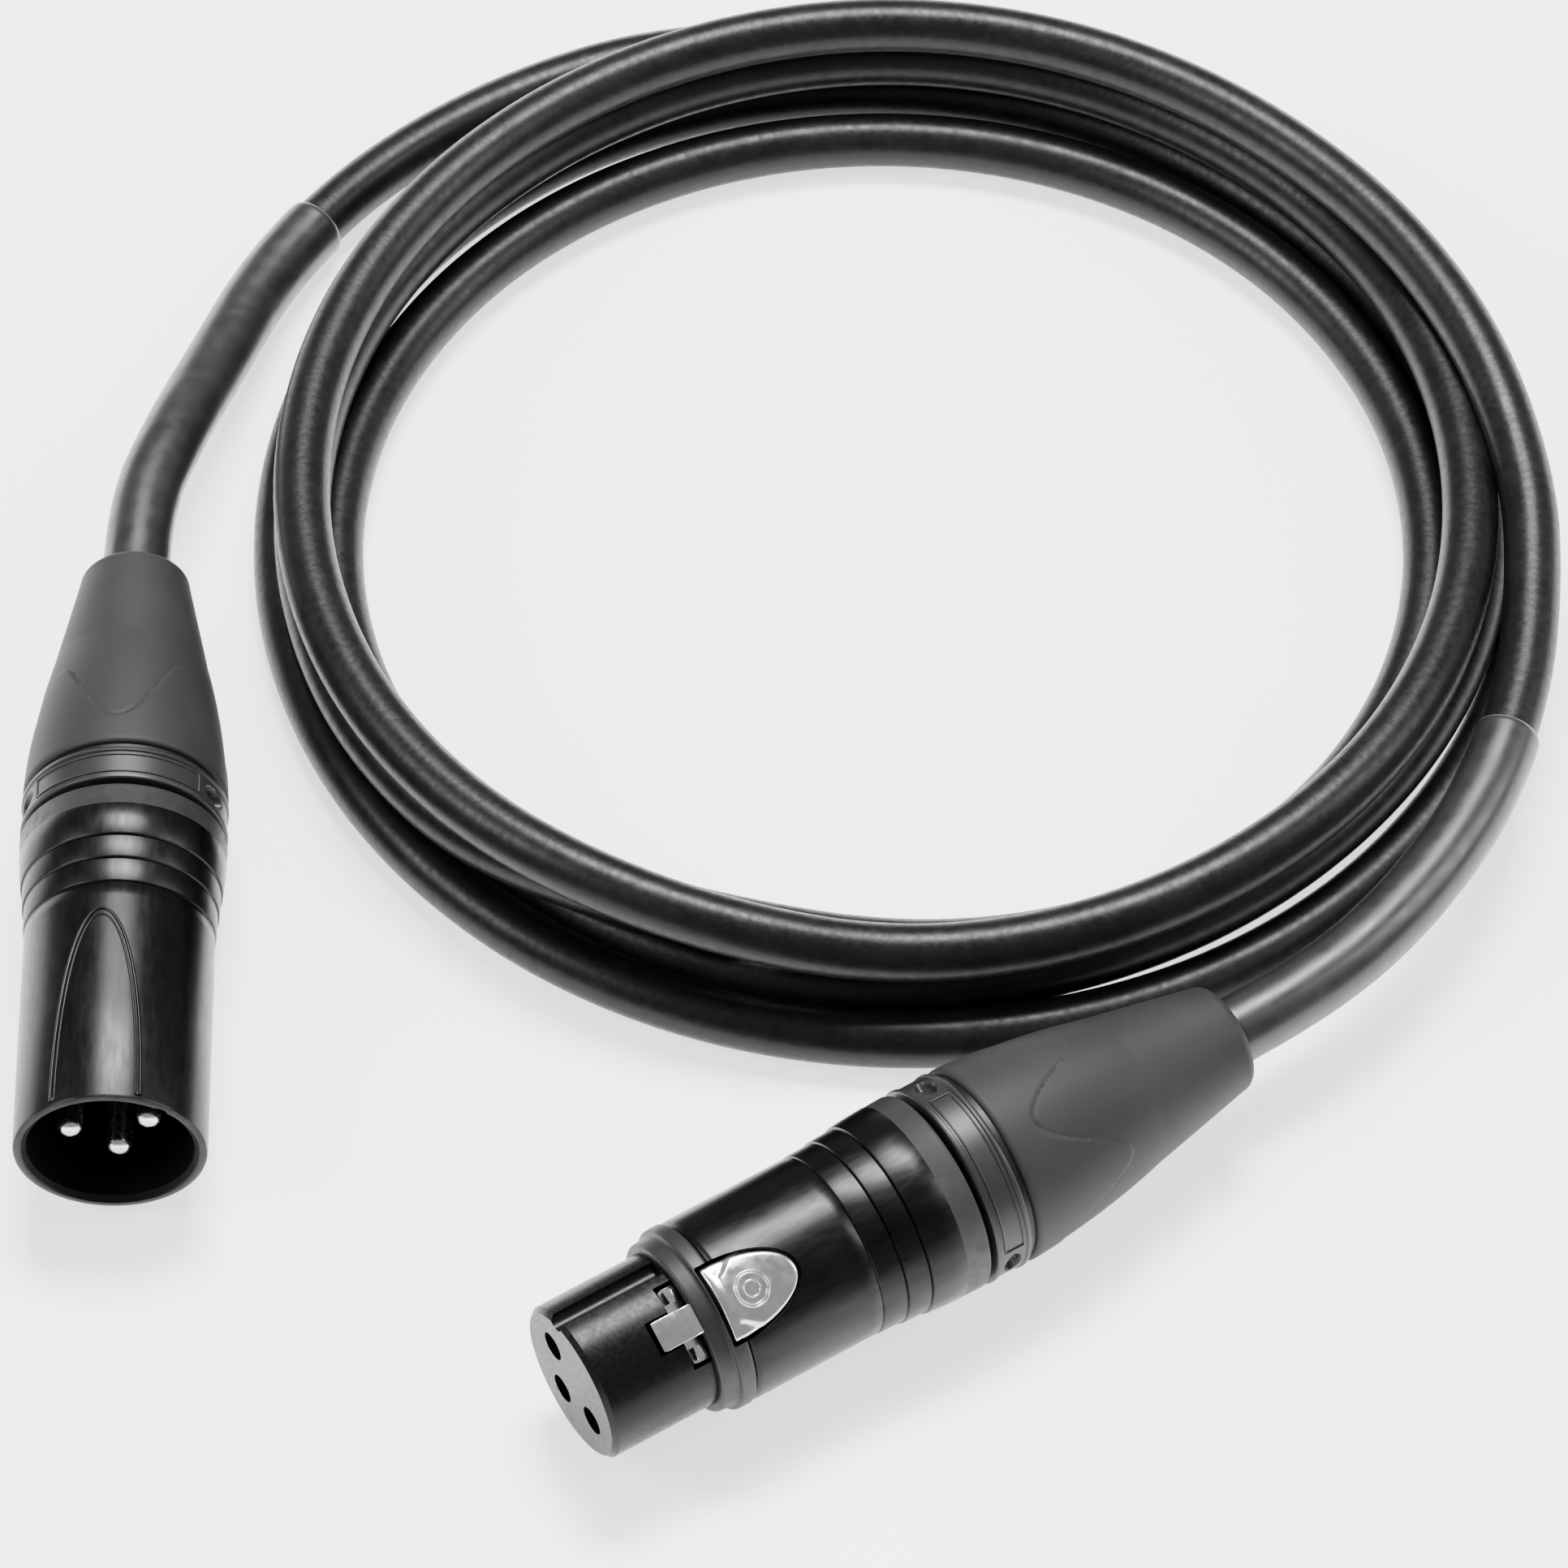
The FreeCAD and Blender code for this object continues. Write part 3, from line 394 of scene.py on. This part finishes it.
def lathe(seat, outline, skin=None, paint=None, turns=192):
    """Turns a closed outline of (station, radius) about the seat's axis.

    skin(station, radius, turn) adds to the radius; paint(station, radius) picks a face's material.
    """
    def fill(bm):
        rings = []
        for station, radius in outline:
            ring = []
            for number in range(turns):
                turn = math.tau * number / turns
                extra = skin(station, radius, turn) if skin else 0.0
                ring.append(bm.verts.new(seat.round(radius + extra, turn, station)))
            rings.append(ring)
        for index, ring in enumerate(rings):
            beyond = rings[(index + 1) % len(rings)]
            here, there = outline[index], outline[(index + 1) % len(outline)]
            shade = paint((here[0] + there[0]) / 2, (here[1] + there[1]) / 2) if paint else 0
            for number in range(turns):
                after = (number + 1) % turns
                face = bm.faces.new((ring[number], ring[after], beyond[after], beyond[number]))
                face.material_index = shade
    return fill


def block(seat, loops):
    """A closed solid through loops of (height, side, station), all with as many points."""
    def fill(bm):
        rings = [[bm.verts.new(seat.at(*point)) for point in loop] for loop in loops]
        for ring, beyond in zip(rings, rings[1:]):
            count = len(ring)
            for number in range(count):
                after = (number + 1) % count
                bm.faces.new((ring[number], ring[after], beyond[after], beyond[number]))
        bm.faces.new(rings[0])
        bm.faces.new(rings[-1])
    return fill


def together(*fills):
    def fill(bm):
        for part in fills:
            part(bm)
    return fill


def bead(name, places, radius, material, body, closed=False):
    """A fine raised line through places in the frame; radius in mm."""
    curve = bpy.data.curves.new(name, "CURVE")
    curve.dimensions = "3D"
    curve.bevel_depth = radius * MM
    curve.bevel_resolution = 3
    curve.use_fill_caps = True
    line = curve.splines.new("POLY")
    line.points.add(len(places) - 1)
    for point, place in zip(line.points, places):
        point.co = (*place, 1)
    line.use_cyclic_u = closed
    line.use_smooth = True
    curve.materials.append(LOOKS[material])
    return show(name, curve, body)


def smoothstep(low, high, value):
    share = max(0.0, min(1.0, (value - low) / (high - low)))
    return share * share * (3 - 2 * share)


# ---------------------------------------------------------------- the cord
# Routes and lengths along the cord, in metres.
COIL_CENTRE = Vector((0.0261, 0.0638, 0))
MALE_SLEEVE_LENGTH = 0.0598
FEMALE_SLEEVE_LENGTH = 0.0490
MALE_LEAD_ROUTE = (
    (-0.0519, 0.0525, 0.01045),
    (-0.05215, 0.0620, 0.01045),
    (-0.0495, 0.0728, 0.0096),
    (-0.0459, 0.0858, 0.0062),
    (-0.0405, 0.1024, 0.0038),
    (-0.0302, 0.1171, 0.0033),
    (-0.0155, 0.1289, 0.0030),
    (0.0019, 0.1364, 0.0030),
)
FEMALE_LEAD_ROUTE = (
    (0.0591, -0.0055, 0.01045),
    (0.0683, 0.0004, 0.01045),
    (0.0781, 0.0105, 0.0105),
    (0.0863, 0.0232, 0.0107),
    (0.0914, 0.0378, 0.0111),
    (0.0933, 0.0513, 0.0118),
)
# The coil's turns, clockwise from the male lead: angle in degrees, distance and height in mm.
COIL_STATIONS = (
    (90, 72.3, 3.0),
    (45, 70.6, 3.0),
    (0, 68.3, 3.0),
    (-45, 66.5, 3.0),
    (-90, 64.4, 3.0),
    (-135, 63.3, 3.0),
    (-180, 63.8, 3.0),
    (-225, 66.0, 3.0),
    (-270, 66.3, 3.0),
    (-315, 64.4, 3.0),
    (-360, 63.2, 5.6),
    (-405, 60.9, 6.6),
    (-450, 59.4, 5.2),
    (-472, 58.4, 3.4),
    (-495, 57.4, 3.0),
    (-540, 58.1, 3.0),
    (-585, 58.4, 3.0),
    (-630, 58.6, 3.0),
    (-675, 58.6, 3.0),
    (-720, 57.9, 3.0),
    (-765, 56.4, 3.0),
    (-802, 53.9, 3.4),
    (-832, 56.9, 9.3),
    (-855, 60.6, 8.8),
    (-900, 61.3, 8.2),
    (-945, 63.0, 8.6),
    (-990, 65.4, 9.0),
    (-1035, 63.9, 9.4),
    (-1080, 61.4, 10.9),
    (-1125, 61.0, 12.4),
    (-1170, 59.9, 11.2),
    (-1192, 60.8, 14.8),
    (-1215, 61.0, 14.4),
    (-1260, 61.0, 13.9),
    (-1305, 62.6, 14.5),
    (-1350, 64.8, 14.9),
    (-1395, 63.8, 15.3),
    (-1410, 64.3, 15.4),
    (-1425, 65.3, 14.8),
    (-1440, 66.9, 12.9),
)
COIL_STEP = 15
FLOOR_REST = 3.0


def turn_at(angle):
    """The cord's distance from the coil's centre and its height, at an angle along the turns."""
    for index in range(len(COIL_STATIONS) - 1):
        if angle >= COIL_STATIONS[index + 1][0]:
            break
    last = len(COIL_STATIONS) - 1
    before, start, end, after = [
        COIL_STATIONS[max(0, min(last, index + step))] for step in (-1, 0, 1, 2)]
    width = end[0] - start[0]
    share = (angle - start[0]) / width
    result = []
    for axis in (1, 2):
        slope_in = (end[axis] - before[axis]) / (end[0] - before[0]) * width
        slope_out = (after[axis] - start[axis]) / (after[0] - start[0]) * width
        rise = end[axis] - start[axis]
        bend = share * (1 - share)
        ease = share * share * (3 - 2 * share)
        result.append(start[axis] + rise * ease
                      + bend * (slope_in * (1 - share) - slope_out * share))
    return result


def cord_points():
    points = [Vector(point) for point in MALE_LEAD_ROUTE]
    # a curve of this kind passes inside its points by this share of the turn's radius
    inside = 0.75 + 0.25 * math.cos(math.radians(COIL_STEP))
    first, last = COIL_STATIONS[0][0], COIL_STATIONS[-1][0]
    for number in range((first - last) // COIL_STEP + 1):
        angle = first - number * COIL_STEP
        distance, height = turn_at(angle)
        turn = math.radians(angle)
        out = Vector((math.cos(turn), math.sin(turn), 0))
        up = Vector((0, 0, max(height, FLOOR_REST) * MM))
        points.append(COIL_CENTRE + out * distance / inside * MM + up)
    points.extend(Vector(point) for point in reversed(FEMALE_LEAD_ROUTE))
    return points


def cord_curve(name, points, bevel):
    curve = bpy.data.curves.new(name, "CURVE")
    curve.dimensions = "3D"
    curve.resolution_u = 16
    curve.bevel_depth = bevel
    curve.bevel_resolution = 10
    spline = curve.splines.new("NURBS")
    spline.points.add(len(points) - 1)
    for point, place in zip(spline.points, points):
        point.co = (*place, 1)
    spline.order_u = 3
    spline.use_endpoint_u = True
    spline.use_smooth = True
    return curve


def centreline(points):
    """The line that the cord's curve follows, as close points."""
    guide = bpy.data.objects.new("guide", cord_curve("guide", points, 0.0))
    bpy.context.scene.collection.objects.link(guide)
    bpy.context.view_layer.update()
    mesh = bpy.data.meshes.new_from_object(guide)
    line = [vertex.co.copy() for vertex in mesh.vertices]
    bpy.data.objects.remove(guide)
    bpy.data.meshes.remove(mesh)
    return line


def first_stretch(line, length):
    """The line's start, to that length, as (distance walked, point)."""
    walked = 0.0
    kept = [(0.0, line[0])]
    for before, point in zip(line, line[1:]):
        walked += (point - before).length
        if walked > length:
            break
        kept.append((walked, point))
    return kept


def make_sleeve(name, line, length, node):
    """A label sleeve shrunk onto the cord, with a rounded cut edge painted a lighter grey as a
    painted highlight.
    """
    stretch = first_stretch(line, length)
    total = stretch[-1][0]
    sides = 64

    def outside(walked, turn):
        edge = min(walked, total - walked) / MM
        drawn_in = SLEEVE_DRAWN_IN * (1 - smoothstep(0.0, SLEEVE_EDGE, edge))
        along = walked / MM
        wrinkle = SLEEVE_WRINKLE * math.sin(along * 0.7) * math.sin(3 * turn + along * 0.2)
        return (SLEEVE_RADIUS - drawn_in + wrinkle) * MM

    last = len(stretch) - 1

    def fill(bm):
        def ring_at(index, radius_at):
            walked, point = stretch[index]
            ahead = stretch[min(index + 1, last)][1] - stretch[max(index - 1, 0)][1]
            side = ahead.cross(Vector((0, 0, 1))).normalized()
            up = side.cross(ahead.normalized())
            ring = []
            for number in range(sides):
                turn = math.tau * number / sides
                radius = radius_at(walked, turn)
                out = side * math.cos(turn) + up * math.sin(turn)
                ring.append(bm.verts.new(point + out * radius))
            return ring

        def hidden(walked, turn):
            return CORD_RADIUS * MM * 0.97

        rings = [ring_at(0, hidden)] + [ring_at(index, outside) for index in range(last + 1)]
        rings.append(ring_at(last, hidden))
        for index, (ring, beyond) in enumerate(zip(rings, rings[1:])):
            for number in range(sides):
                after = (number + 1) % sides
                face = bm.faces.new((ring[number], ring[after], beyond[after], beyond[number]))
                # the end faces take the lighter grey of the painted highlight
                face.material_index = int(index < 2 or index > last - 1)
        for ring in (rings[0], rings[-1]):
            bm.faces.new(ring)

    piece = new_piece(name, fill, ["sleeve", "sleeve_edge_painted_highlight"], ROOT)
    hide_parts(node)
    return piece


def resampled(line, step):
    """The same line with points no further apart than step, for fine work along it."""
    points = [line[0]]
    for start, end in zip(line, line[1:]):
        count = max(1, math.ceil((end - start).length / step))
        points.extend(start.lerp(end, number / count) for number in range(1, count + 1))
    return points


def make_cord():
    points = cord_points()
    curve = cord_curve("cord", points, CORD_RADIUS * MM)
    curve.use_fill_caps = True
    curve.materials.append(LOOKS["jacket"])
    cord = show("cord", curve, ROOT)
    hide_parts("male_lead_cord", "female_lead_cord", "cable_coil")
    line = resampled(centreline(points), 0.3 * MM)
    male_sleeve = make_sleeve("male_sleeve", line, MALE_SLEEVE_LENGTH, "male_label_sleeve")
    female_sleeve = make_sleeve("female_sleeve", line[::-1], FEMALE_SLEEVE_LENGTH,
                                "female_label_sleeve")


# ---------------------------------------------------------------- what both connectors end in
def boot_radius(station):
    """The boot's outside at a distance behind the shell: a long swell, then a cone."""
    if station < BOOT_WAIST:
        share = (station - BOOT_START) / (BOOT_WAIST - BOOT_START)
        swell = BOOT_SAG * 4 * share * (1 - share)
        return BOOT_FRONT_RADIUS + (BOOT_WAIST_RADIUS - BOOT_FRONT_RADIUS) * share + swell
    share = (station - BOOT_WAIST) / (BOOT_END - BOOT_WAIST)
    return BOOT_WAIST_RADIUS + (BOOT_END_RADIUS - BOOT_WAIST_RADIUS) * share


def make_boot(end, seat, rear, facing):
    """The rubber boot: its sleeve part overlaps its front collar along a scalloped seam."""
    outline = [(rear + BOOT_START, BOOT_SEAT), (rear + BOOT_START, 10.0)]
    outline += [(rear + BOOT_START + 0.12, 10.24), (rear + BOOT_START + 0.35, 10.38)]
    step = 0.16
    count = int((BOOT_END - BOOT_ROUNDING - BOOT_START - 0.7) / step)
    for number in range(count + 1):
        station = BOOT_START + 0.7 + number * step
        outline.append((rear + station, boot_radius(station)))
    tip = boot_radius(BOOT_END - BOOT_ROUNDING)
    for number in range(1, 9):
        turn = math.pi / 2 * number / 8
        outline.append((rear + BOOT_END - BOOT_ROUNDING * (1 - math.sin(turn)),
                        tip - BOOT_ROUNDING * (1 - math.cos(turn))))
    outline += [(rear + BOOT_END, BOOT_CORD_HOLE + 0.3), (rear + BOOT_END - 0.5, BOOT_CORD_HOLE),
                (rear + BOOT_WAIST, BOOT_CORD_HOLE), (rear + BOOT_SEAT_END, 5.9),
                (rear + BOOT_SEAT_END, BOOT_SEAT)]

    def seam(station, radius, turn):
        behind = station - rear
        if radius < 4.2 or abs(radius - boot_radius(behind)) > 0.3:
            return 0.0
        wave = math.cos(SEAM_SCALLOPS * (turn - facing))
        edge = SEAM_FRONT + SEAM_RISE * (1 - wave) / 2
        fade = 1 - smoothstep(0.75, 1.0, (1 - wave) / 2)
        sunk = smoothstep(edge - 0.1, edge + 0.14, behind)
        sunk *= 1 - smoothstep(edge, SEAM_FRONT + 16, behind)
        lip = math.exp(-((behind - edge) / 0.15) ** 2)
        return -SEAM_DEPTH * sunk - SEAM_GROOVE * fade * lip

    piece = new_piece(f"{end}_boot_skin", lathe(seat, outline, skin=seam, turns=240), ["boot"],
                      f"{end}_bushing")
    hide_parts(f"{end}_boot")


def make_coding_ring(end, seat, rear, facing):
    """The coloured ring: a lip at each edge, a framed field and a slot beyond each end of it."""
    inside, low, high = 8.5, 10.28, 10.45
    start, finish = rear + 0.6, rear + 4.6
    outline = [(start, inside), (start, high - 0.2), (start + 0.08, high - 0.06),
               (start + 0.2, high)]
    outline += [(start + 0.48, high), (start + 0.62, low)]
    count = 22
    for number in range(1, count):
        outline.append((start + 0.62 + (finish - start - 1.24) * number / count, low))
    outline += [(finish - 0.62, low), (finish - 0.48, high), (finish - 0.2, high),
                (finish - 0.08, high - 0.06), (finish, high - 0.2), (finish, inside)]
    middle = (start + finish) / 2

    def slots(station, radius, turn):
        if radius < 10:
            return 0.0
        deepest = 0.0
        for side in (-1, 1):
            along = (turn - facing - side * RING_SLOT_TURN + math.pi) % math.tau - math.pi
            reach = math.hypot((station - middle) / 0.95, along * radius / 1.75)
            deepest = max(deepest, 1 - smoothstep(0.8, 1.0, reach))
        return -0.75 * deepest

    piece = new_piece(f"{end}_ring_skin", lathe(seat, outline, skin=slots, turns=384), ["ring"],
                      f"{end}_ring")
    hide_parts(f"{end}_coding_ring")
    half = (finish - start) / 2 - 0.95
    corners = ((-1, -1), (1, -1), (1, 1), (-1, 1))
    places = []
    for (across, along), (next_across, next_along) in zip(corners, corners[1:] + corners[:1]):
        for number in range(24):
            share = number / 24
            turn = facing + RING_FIELD_TURN * (across + (next_across - across) * share)
            station = middle + half * (along + (next_along - along) * share)
            places.append(seat.round(low + 0.03, turn, station))
    bead(f"{end}_ring_frame", places, 0.11, "ring", f"{end}_ring", closed=True)


# ---------------------------------------------------------------- the male connector
def stepped(steps, lip):
    """A shell's raised steps, each (station, rise); gives their outline and the last radius."""
    outline = []
    radius = SHELL_RADIUS
    for station, rise in steps:
        outline += [(station - 0.16, radius), (station - 0.06, radius - 0.07),
                    (station + 0.04, radius + rise), (station + 0.14, radius + rise + lip)]
        radius += rise + lip + 0.06
    return outline, radius


def make_male_shell():
    outline = [(SHELL_INNER_STEP, SHELL_REAR_BORE), (SHELL_INNER_STEP, SHELL_BORE),
               (KEY_DEPTH + 0.02, SHELL_BORE), (KEY_DEPTH, SHELL_BORE), (0.55, SHELL_BORE),
               (0.12, 8.62), (0.0, 8.75), (0.0, 9.25), (0.1, 9.42), (0.35, SHELL_RADIUS),
               (12.0, SHELL_RADIUS), (24.3, SHELL_RADIUS)]
    steps, radius = stepped(((25.9, 0.07), (28.7, 0.14), (31.4, 0.16)), 0.05)
    outline += steps
    outline += [(33.4, radius + 0.1), (35.0, radius + 0.2), (35.08, radius + 0.16),
                (37.1, radius + 0.24), (37.4, radius + 0.1), (MALE_REAR, radius - 0.1),
                (MALE_REAR, SHELL_REAR_BORE)]

    def keyway(station, radius, turn):
        if station > KEY_DEPTH or radius > 9.2:
            return 0.0
        off = turn - KEY_TURN
        reach = KEY_RADIUS ** 2 - (KEY_CENTRE * math.sin(off)) ** 2
        if reach <= 0 or math.cos(off) < 0:
            return 0.0
        return max(0.0, KEY_CENTRE * math.cos(off) + math.sqrt(reach) - radius)

    def paint(station, radius):
        if radius < 8.5:
            return 1
        return 2 if station > MALE_BAND_START else 0

    piece = new_piece("male_shell_skin", lathe(MALE, outline, skin=keyway, paint=paint, turns=288),
                      ["male_shell", "bore", "band"], ROOT)
    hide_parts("male_shell")


def make_arch():
    """The double raised line of an arch, from the rim up the shell's top."""
    arches = (("arch_outer", 27.5, 22.6, 0.17), ("arch_inner", 24.6, 21.9, 0.12))
    for name, half_turn, top, thickness in arches:
        places = []
        count = 48
        for number in range(-count, count + 1):
            share = number / count
            along = math.radians(90) * share
            turn = math.radians(ARCH_TURN) + math.radians(half_turn) * math.sin(along)
            station = 0.55 + (top - 0.55) * math.cos(along)
            places.append(MALE.round(SHELL_RADIUS, turn, station))
        bead(name, places, thickness, "male_shell", ROOT)
    for side in (-1, 1):
        turn = math.radians(ARCH_TURN + side * 26)
        places = [MALE.round(9.47, turn, station) for station in (0.45, 0.8)]
        bead(f"arch_foot_{'left' if side < 0 else 'right'}", places, 0.26,
             "male_shell", ROOT)


# ---------------------------------------------------------------- the female connector
def tab_outline(margin):
    """The release tab's rounded arch, grown by a margin, as (side, station)."""
    half, front, tip = TAB_HALF + margin, TAB_START - margin, TAB_TIP + margin
    front_edge = [(half * share, front) for share in (-0.95, -0.6, -0.2, 0.2, 0.6, 0.95)]
    right = [(half, front + (TAB_SHOULDER - front) * share) for share in (0.1, 0.5)]
    count = 28
    for number in range(count):
        turn = math.pi / 2 * number / (count - 0.5)
        right.append((half * math.cos(turn), TAB_SHOULDER + (tip - TAB_SHOULDER) * math.sin(turn)))
    left = [(-across, station) for across, station in reversed(right)]
    return front_edge + right + left


def tab_window():
    outline = tab_outline(TAB_GAP)
    loops = [[(height, side, station) for side, station in outline] for height in (6.0, 13.0)]
    return block(FEMALE, loops)


def make_female_shell():
    outline = [(SHELL_FRONT, SHELL_BORE), (SHELL_FRONT, 8.9), (SHELL_FRONT + 0.1, 9.25),
               (SHELL_FRONT + 0.35, 9.45), (SHELL_FRONT + 0.7, SHELL_RADIUS),
               (22.0, SHELL_RADIUS), (28.0, SHELL_RADIUS)]
    steps, radius = stepped(((29.3, 0.06), (32.0, 0.14), (34.6, 0.18)), 0.03)
    outline += steps
    outline += [(36.6, radius + 0.1), (38.4, radius + 0.18), (38.48, radius + 0.14),
                (40.7, radius + 0.22), (41.0, radius + 0.1), (FEMALE_REAR, radius - 0.1),
                (FEMALE_REAR, SHELL_REAR_BORE), (30.1, SHELL_REAR_BORE), (30.0, SHELL_BORE)]

    def paint(station, radius):
        if radius < 8.3:
            return 1
        return 2 if station > FEMALE_BAND_START else 0

    piece = new_piece("female_shell_skin", lathe(FEMALE, outline, paint=paint, turns=240),
                      ["female_shell", "bore", "band"], ROOT, windows=tab_window())
    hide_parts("female_shell")


def make_gasket():
    """Two soft rounded steps of rubber between the nose and the shell."""
    outline = rounded([(11.5, 7.75), (11.5, 8.9), (13.2, 9.05), (13.3, 9.55), (14.95, 9.6),
                       (14.95, 7.75)], 0.4)
    piece = new_piece("gasket", lathe(FEMALE, outline, turns=192), ["gasket"], ROOT,
                      windows=tab_window())
    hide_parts("female_gasket")


def tab_top(side, station):
    """The tab's crowned top: a raised panel that widens to the rear, with lower front corners."""
    crown = math.sqrt(TAB_RADIUS ** 2 - side ** 2)
    panel = 1.9 + 3.2 * smoothstep(14.0, 19.5, station)
    return crown - 0.32 * smoothstep(panel - 0.15, panel + 0.35, abs(side))


def make_latch():
    outline = tab_outline(0)

    def shrunk(inset, drop=0.0):
        """The tab's outline drawn in towards its middle, a drop below the tab's top."""
        loop = []
        for side, station in outline:
            across = side * (1 - inset)
            along = TAB_MIDDLE + (station - TAB_MIDDLE) * (1 - inset)
            loop.append((tab_top(across, along) - drop, across, along))
        return loop

    loops = [[(6.3, side, station) for side, station in outline]]
    eased_edge = ((0.0, 0.55), (0.004, 0.38), (0.014, 0.22), (0.03, 0.1), (0.05, 0.03))
    loops += [shrunk(inset, drop) for inset, drop in eased_edge]
    rings = 22
    loops += [shrunk(0.05 + 0.94 * number / rings) for number in range(1, rings)]
    tab = block(FEMALE, loops)

    def bar(profile, half, middle=0.0, ease=0.12):
        """A profile of (height, station) drawn out to both sides, its end edges eased."""
        heights = [point[0] for point in profile]
        stations = [point[1] for point in profile]
        heart = (sum(heights) / len(heights), sum(stations) / len(stations))
        slices = []
        for side, shrink in ((-half, 0.94), (-half + ease, 1.0), (half - ease, 1.0), (half, 0.94)):
            slices.append([(heart[0] + (height - heart[0]) * shrink, middle + side,
                            heart[1] + (station - heart[1]) * shrink)
                           for height, station in profile])
        return block(FEMALE, slices)

    tooth = bar([(4.9, 7.45), (7.35, 7.45), (7.6, 7.5), (8.82, 9.7), (8.9, 9.85), (8.9, 11.45),
                 (4.9, 11.45)], 1.52)
    turns = [math.tau * number / 20 for number in range(20)]
    barrel = [(6.75 + 0.62 * math.sin(turn), 10.75 + 0.72 * math.cos(turn)) for turn in turns]
    wings = [bar(barrel, 0.62, middle, 0.16) for middle in (-2.95, 2.95)]
    arm = bar([(5.0, 9.9), (6.3, 9.9), (6.3, 23.4), (5.0, 23.4)], 3.85)
    hub = bar([(5.0, 22.9), (6.2, 22.7), (7.2, 23.6), (7.2, 25.4), (6.9, 26.1), (5.5, 26.1),
               (4.8, 25.4)], 3.2)
    piece = new_piece("latch", together(tab, tooth, *wings, arm, hub), ["chrome"],
                      "latch")
    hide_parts("female_latch")

    for number, radius in enumerate((1.75, 1.5, 0.8), start=1):
        places = []
        for step in range(48):
            turn = math.tau * step / 48
            side, station = radius * math.cos(turn), 17.3 + radius * math.sin(turn)
            places.append(FEMALE.at(tab_top(side, station) + 0.01, side, station))
        bead(f"tab_circle_{number}", places, 0.09, "chrome", "latch", closed=True)


# ---------------------------------------------------------------- CAD nodes kept as they are
def paint_nodes():
    looks = {
        "male_insert": "dark", "female_insert": "nose", "female_gasket": "gasket",
        "male_ground_clip": "steel", "female_ground_clip": "steel", "female_latch_pivot": "steel",
        "female_latch_spring": "steel", "male_bushing": "dark", "female_bushing": "dark",
        "male_cord_clamp": "clamp", "female_cord_clamp": "clamp",
        "male_jacket_end": "jacket", "female_jacket_end": "jacket",
        "male_shield_tail": "shield", "female_shield_tail": "shield",
        "male_hot_core": "core_hot", "female_hot_core": "core_hot",
        "male_cold_core": "core_cold", "female_cold_core": "core_cold",
    }
    for end in ("male_pin", "female_socket"):
        for number in (1, 2, 3):
            looks[f"{end}_{number}"] = "silver"
    for node, look in looks.items():
        thing = frame["nodes"][node]
        for index in range(len(thing.material_slots)):
            thing.material_slots[index].material = LOOKS[look]


# ---------------------------------------------------------------- camera, floor and lights
def make_stage():
    camera_data = bpy.data.cameras.new("camera")
    camera_data.sensor_width = 36
    camera_data.lens = CAMERA_LENS
    camera = bpy.data.objects.new("camera", camera_data)
    camera.location = CAMERA_PLACE
    camera.rotation_euler = (math.radians(90 - CAMERA_LOOKS_DOWN), 0, 0)
    bpy.context.scene.collection.objects.link(camera)
    bpy.context.scene.camera = camera

    floor_mesh = bpy.data.meshes.new("floor")
    corners = [(-1, -1), (1, -1), (1, 1), (-1, 1)]
    floor_mesh.from_pydata([(x * FLOOR_REACH, y * FLOOR_REACH, 0) for x, y in corners],
                           [], [(0, 1, 2, 3)])
    floor_mesh.materials.append(LOOKS["floor"])
    floor = bpy.data.objects.new("floor", floor_mesh)
    bpy.context.scene.collection.objects.link(floor)

    world = bpy.data.worlds.new("studio")
    world.use_nodes = True
    world.node_tree.nodes["Background"].inputs["Color"].default_value = (1, 1, 1, 1)
    world.node_tree.nodes["Background"].inputs["Strength"].default_value = SKY_STRENGTH
    bpy.context.scene.world = world

    target = Vector((0.01, 0.05, 0))
    for name, place, width, height, power in LIGHTS:
        data = bpy.data.lights.new(name, "AREA")
        data.shape = "RECTANGLE"
        data.size = width
        data.size_y = height
        data.energy = power
        light = bpy.data.objects.new(name, data)
        light.location = place
        light.rotation_euler = (target - Vector(place)).to_track_quat("-Z", "Y").to_euler()
        bpy.context.scene.collection.objects.link(light)


make_stage()
make_cord()
make_male_shell()
make_arch()
make_coding_ring("male", MALE, MALE_REAR, MALE_FACING)
make_boot("male", MALE, MALE_REAR, MALE_FACING)
make_female_shell()
make_gasket()
make_latch()
make_coding_ring("female", FEMALE, FEMALE_REAR, FEMALE_FACING)
make_boot("female", FEMALE, FEMALE_REAR, FEMALE_SEAM_FACING)
paint_nodes()
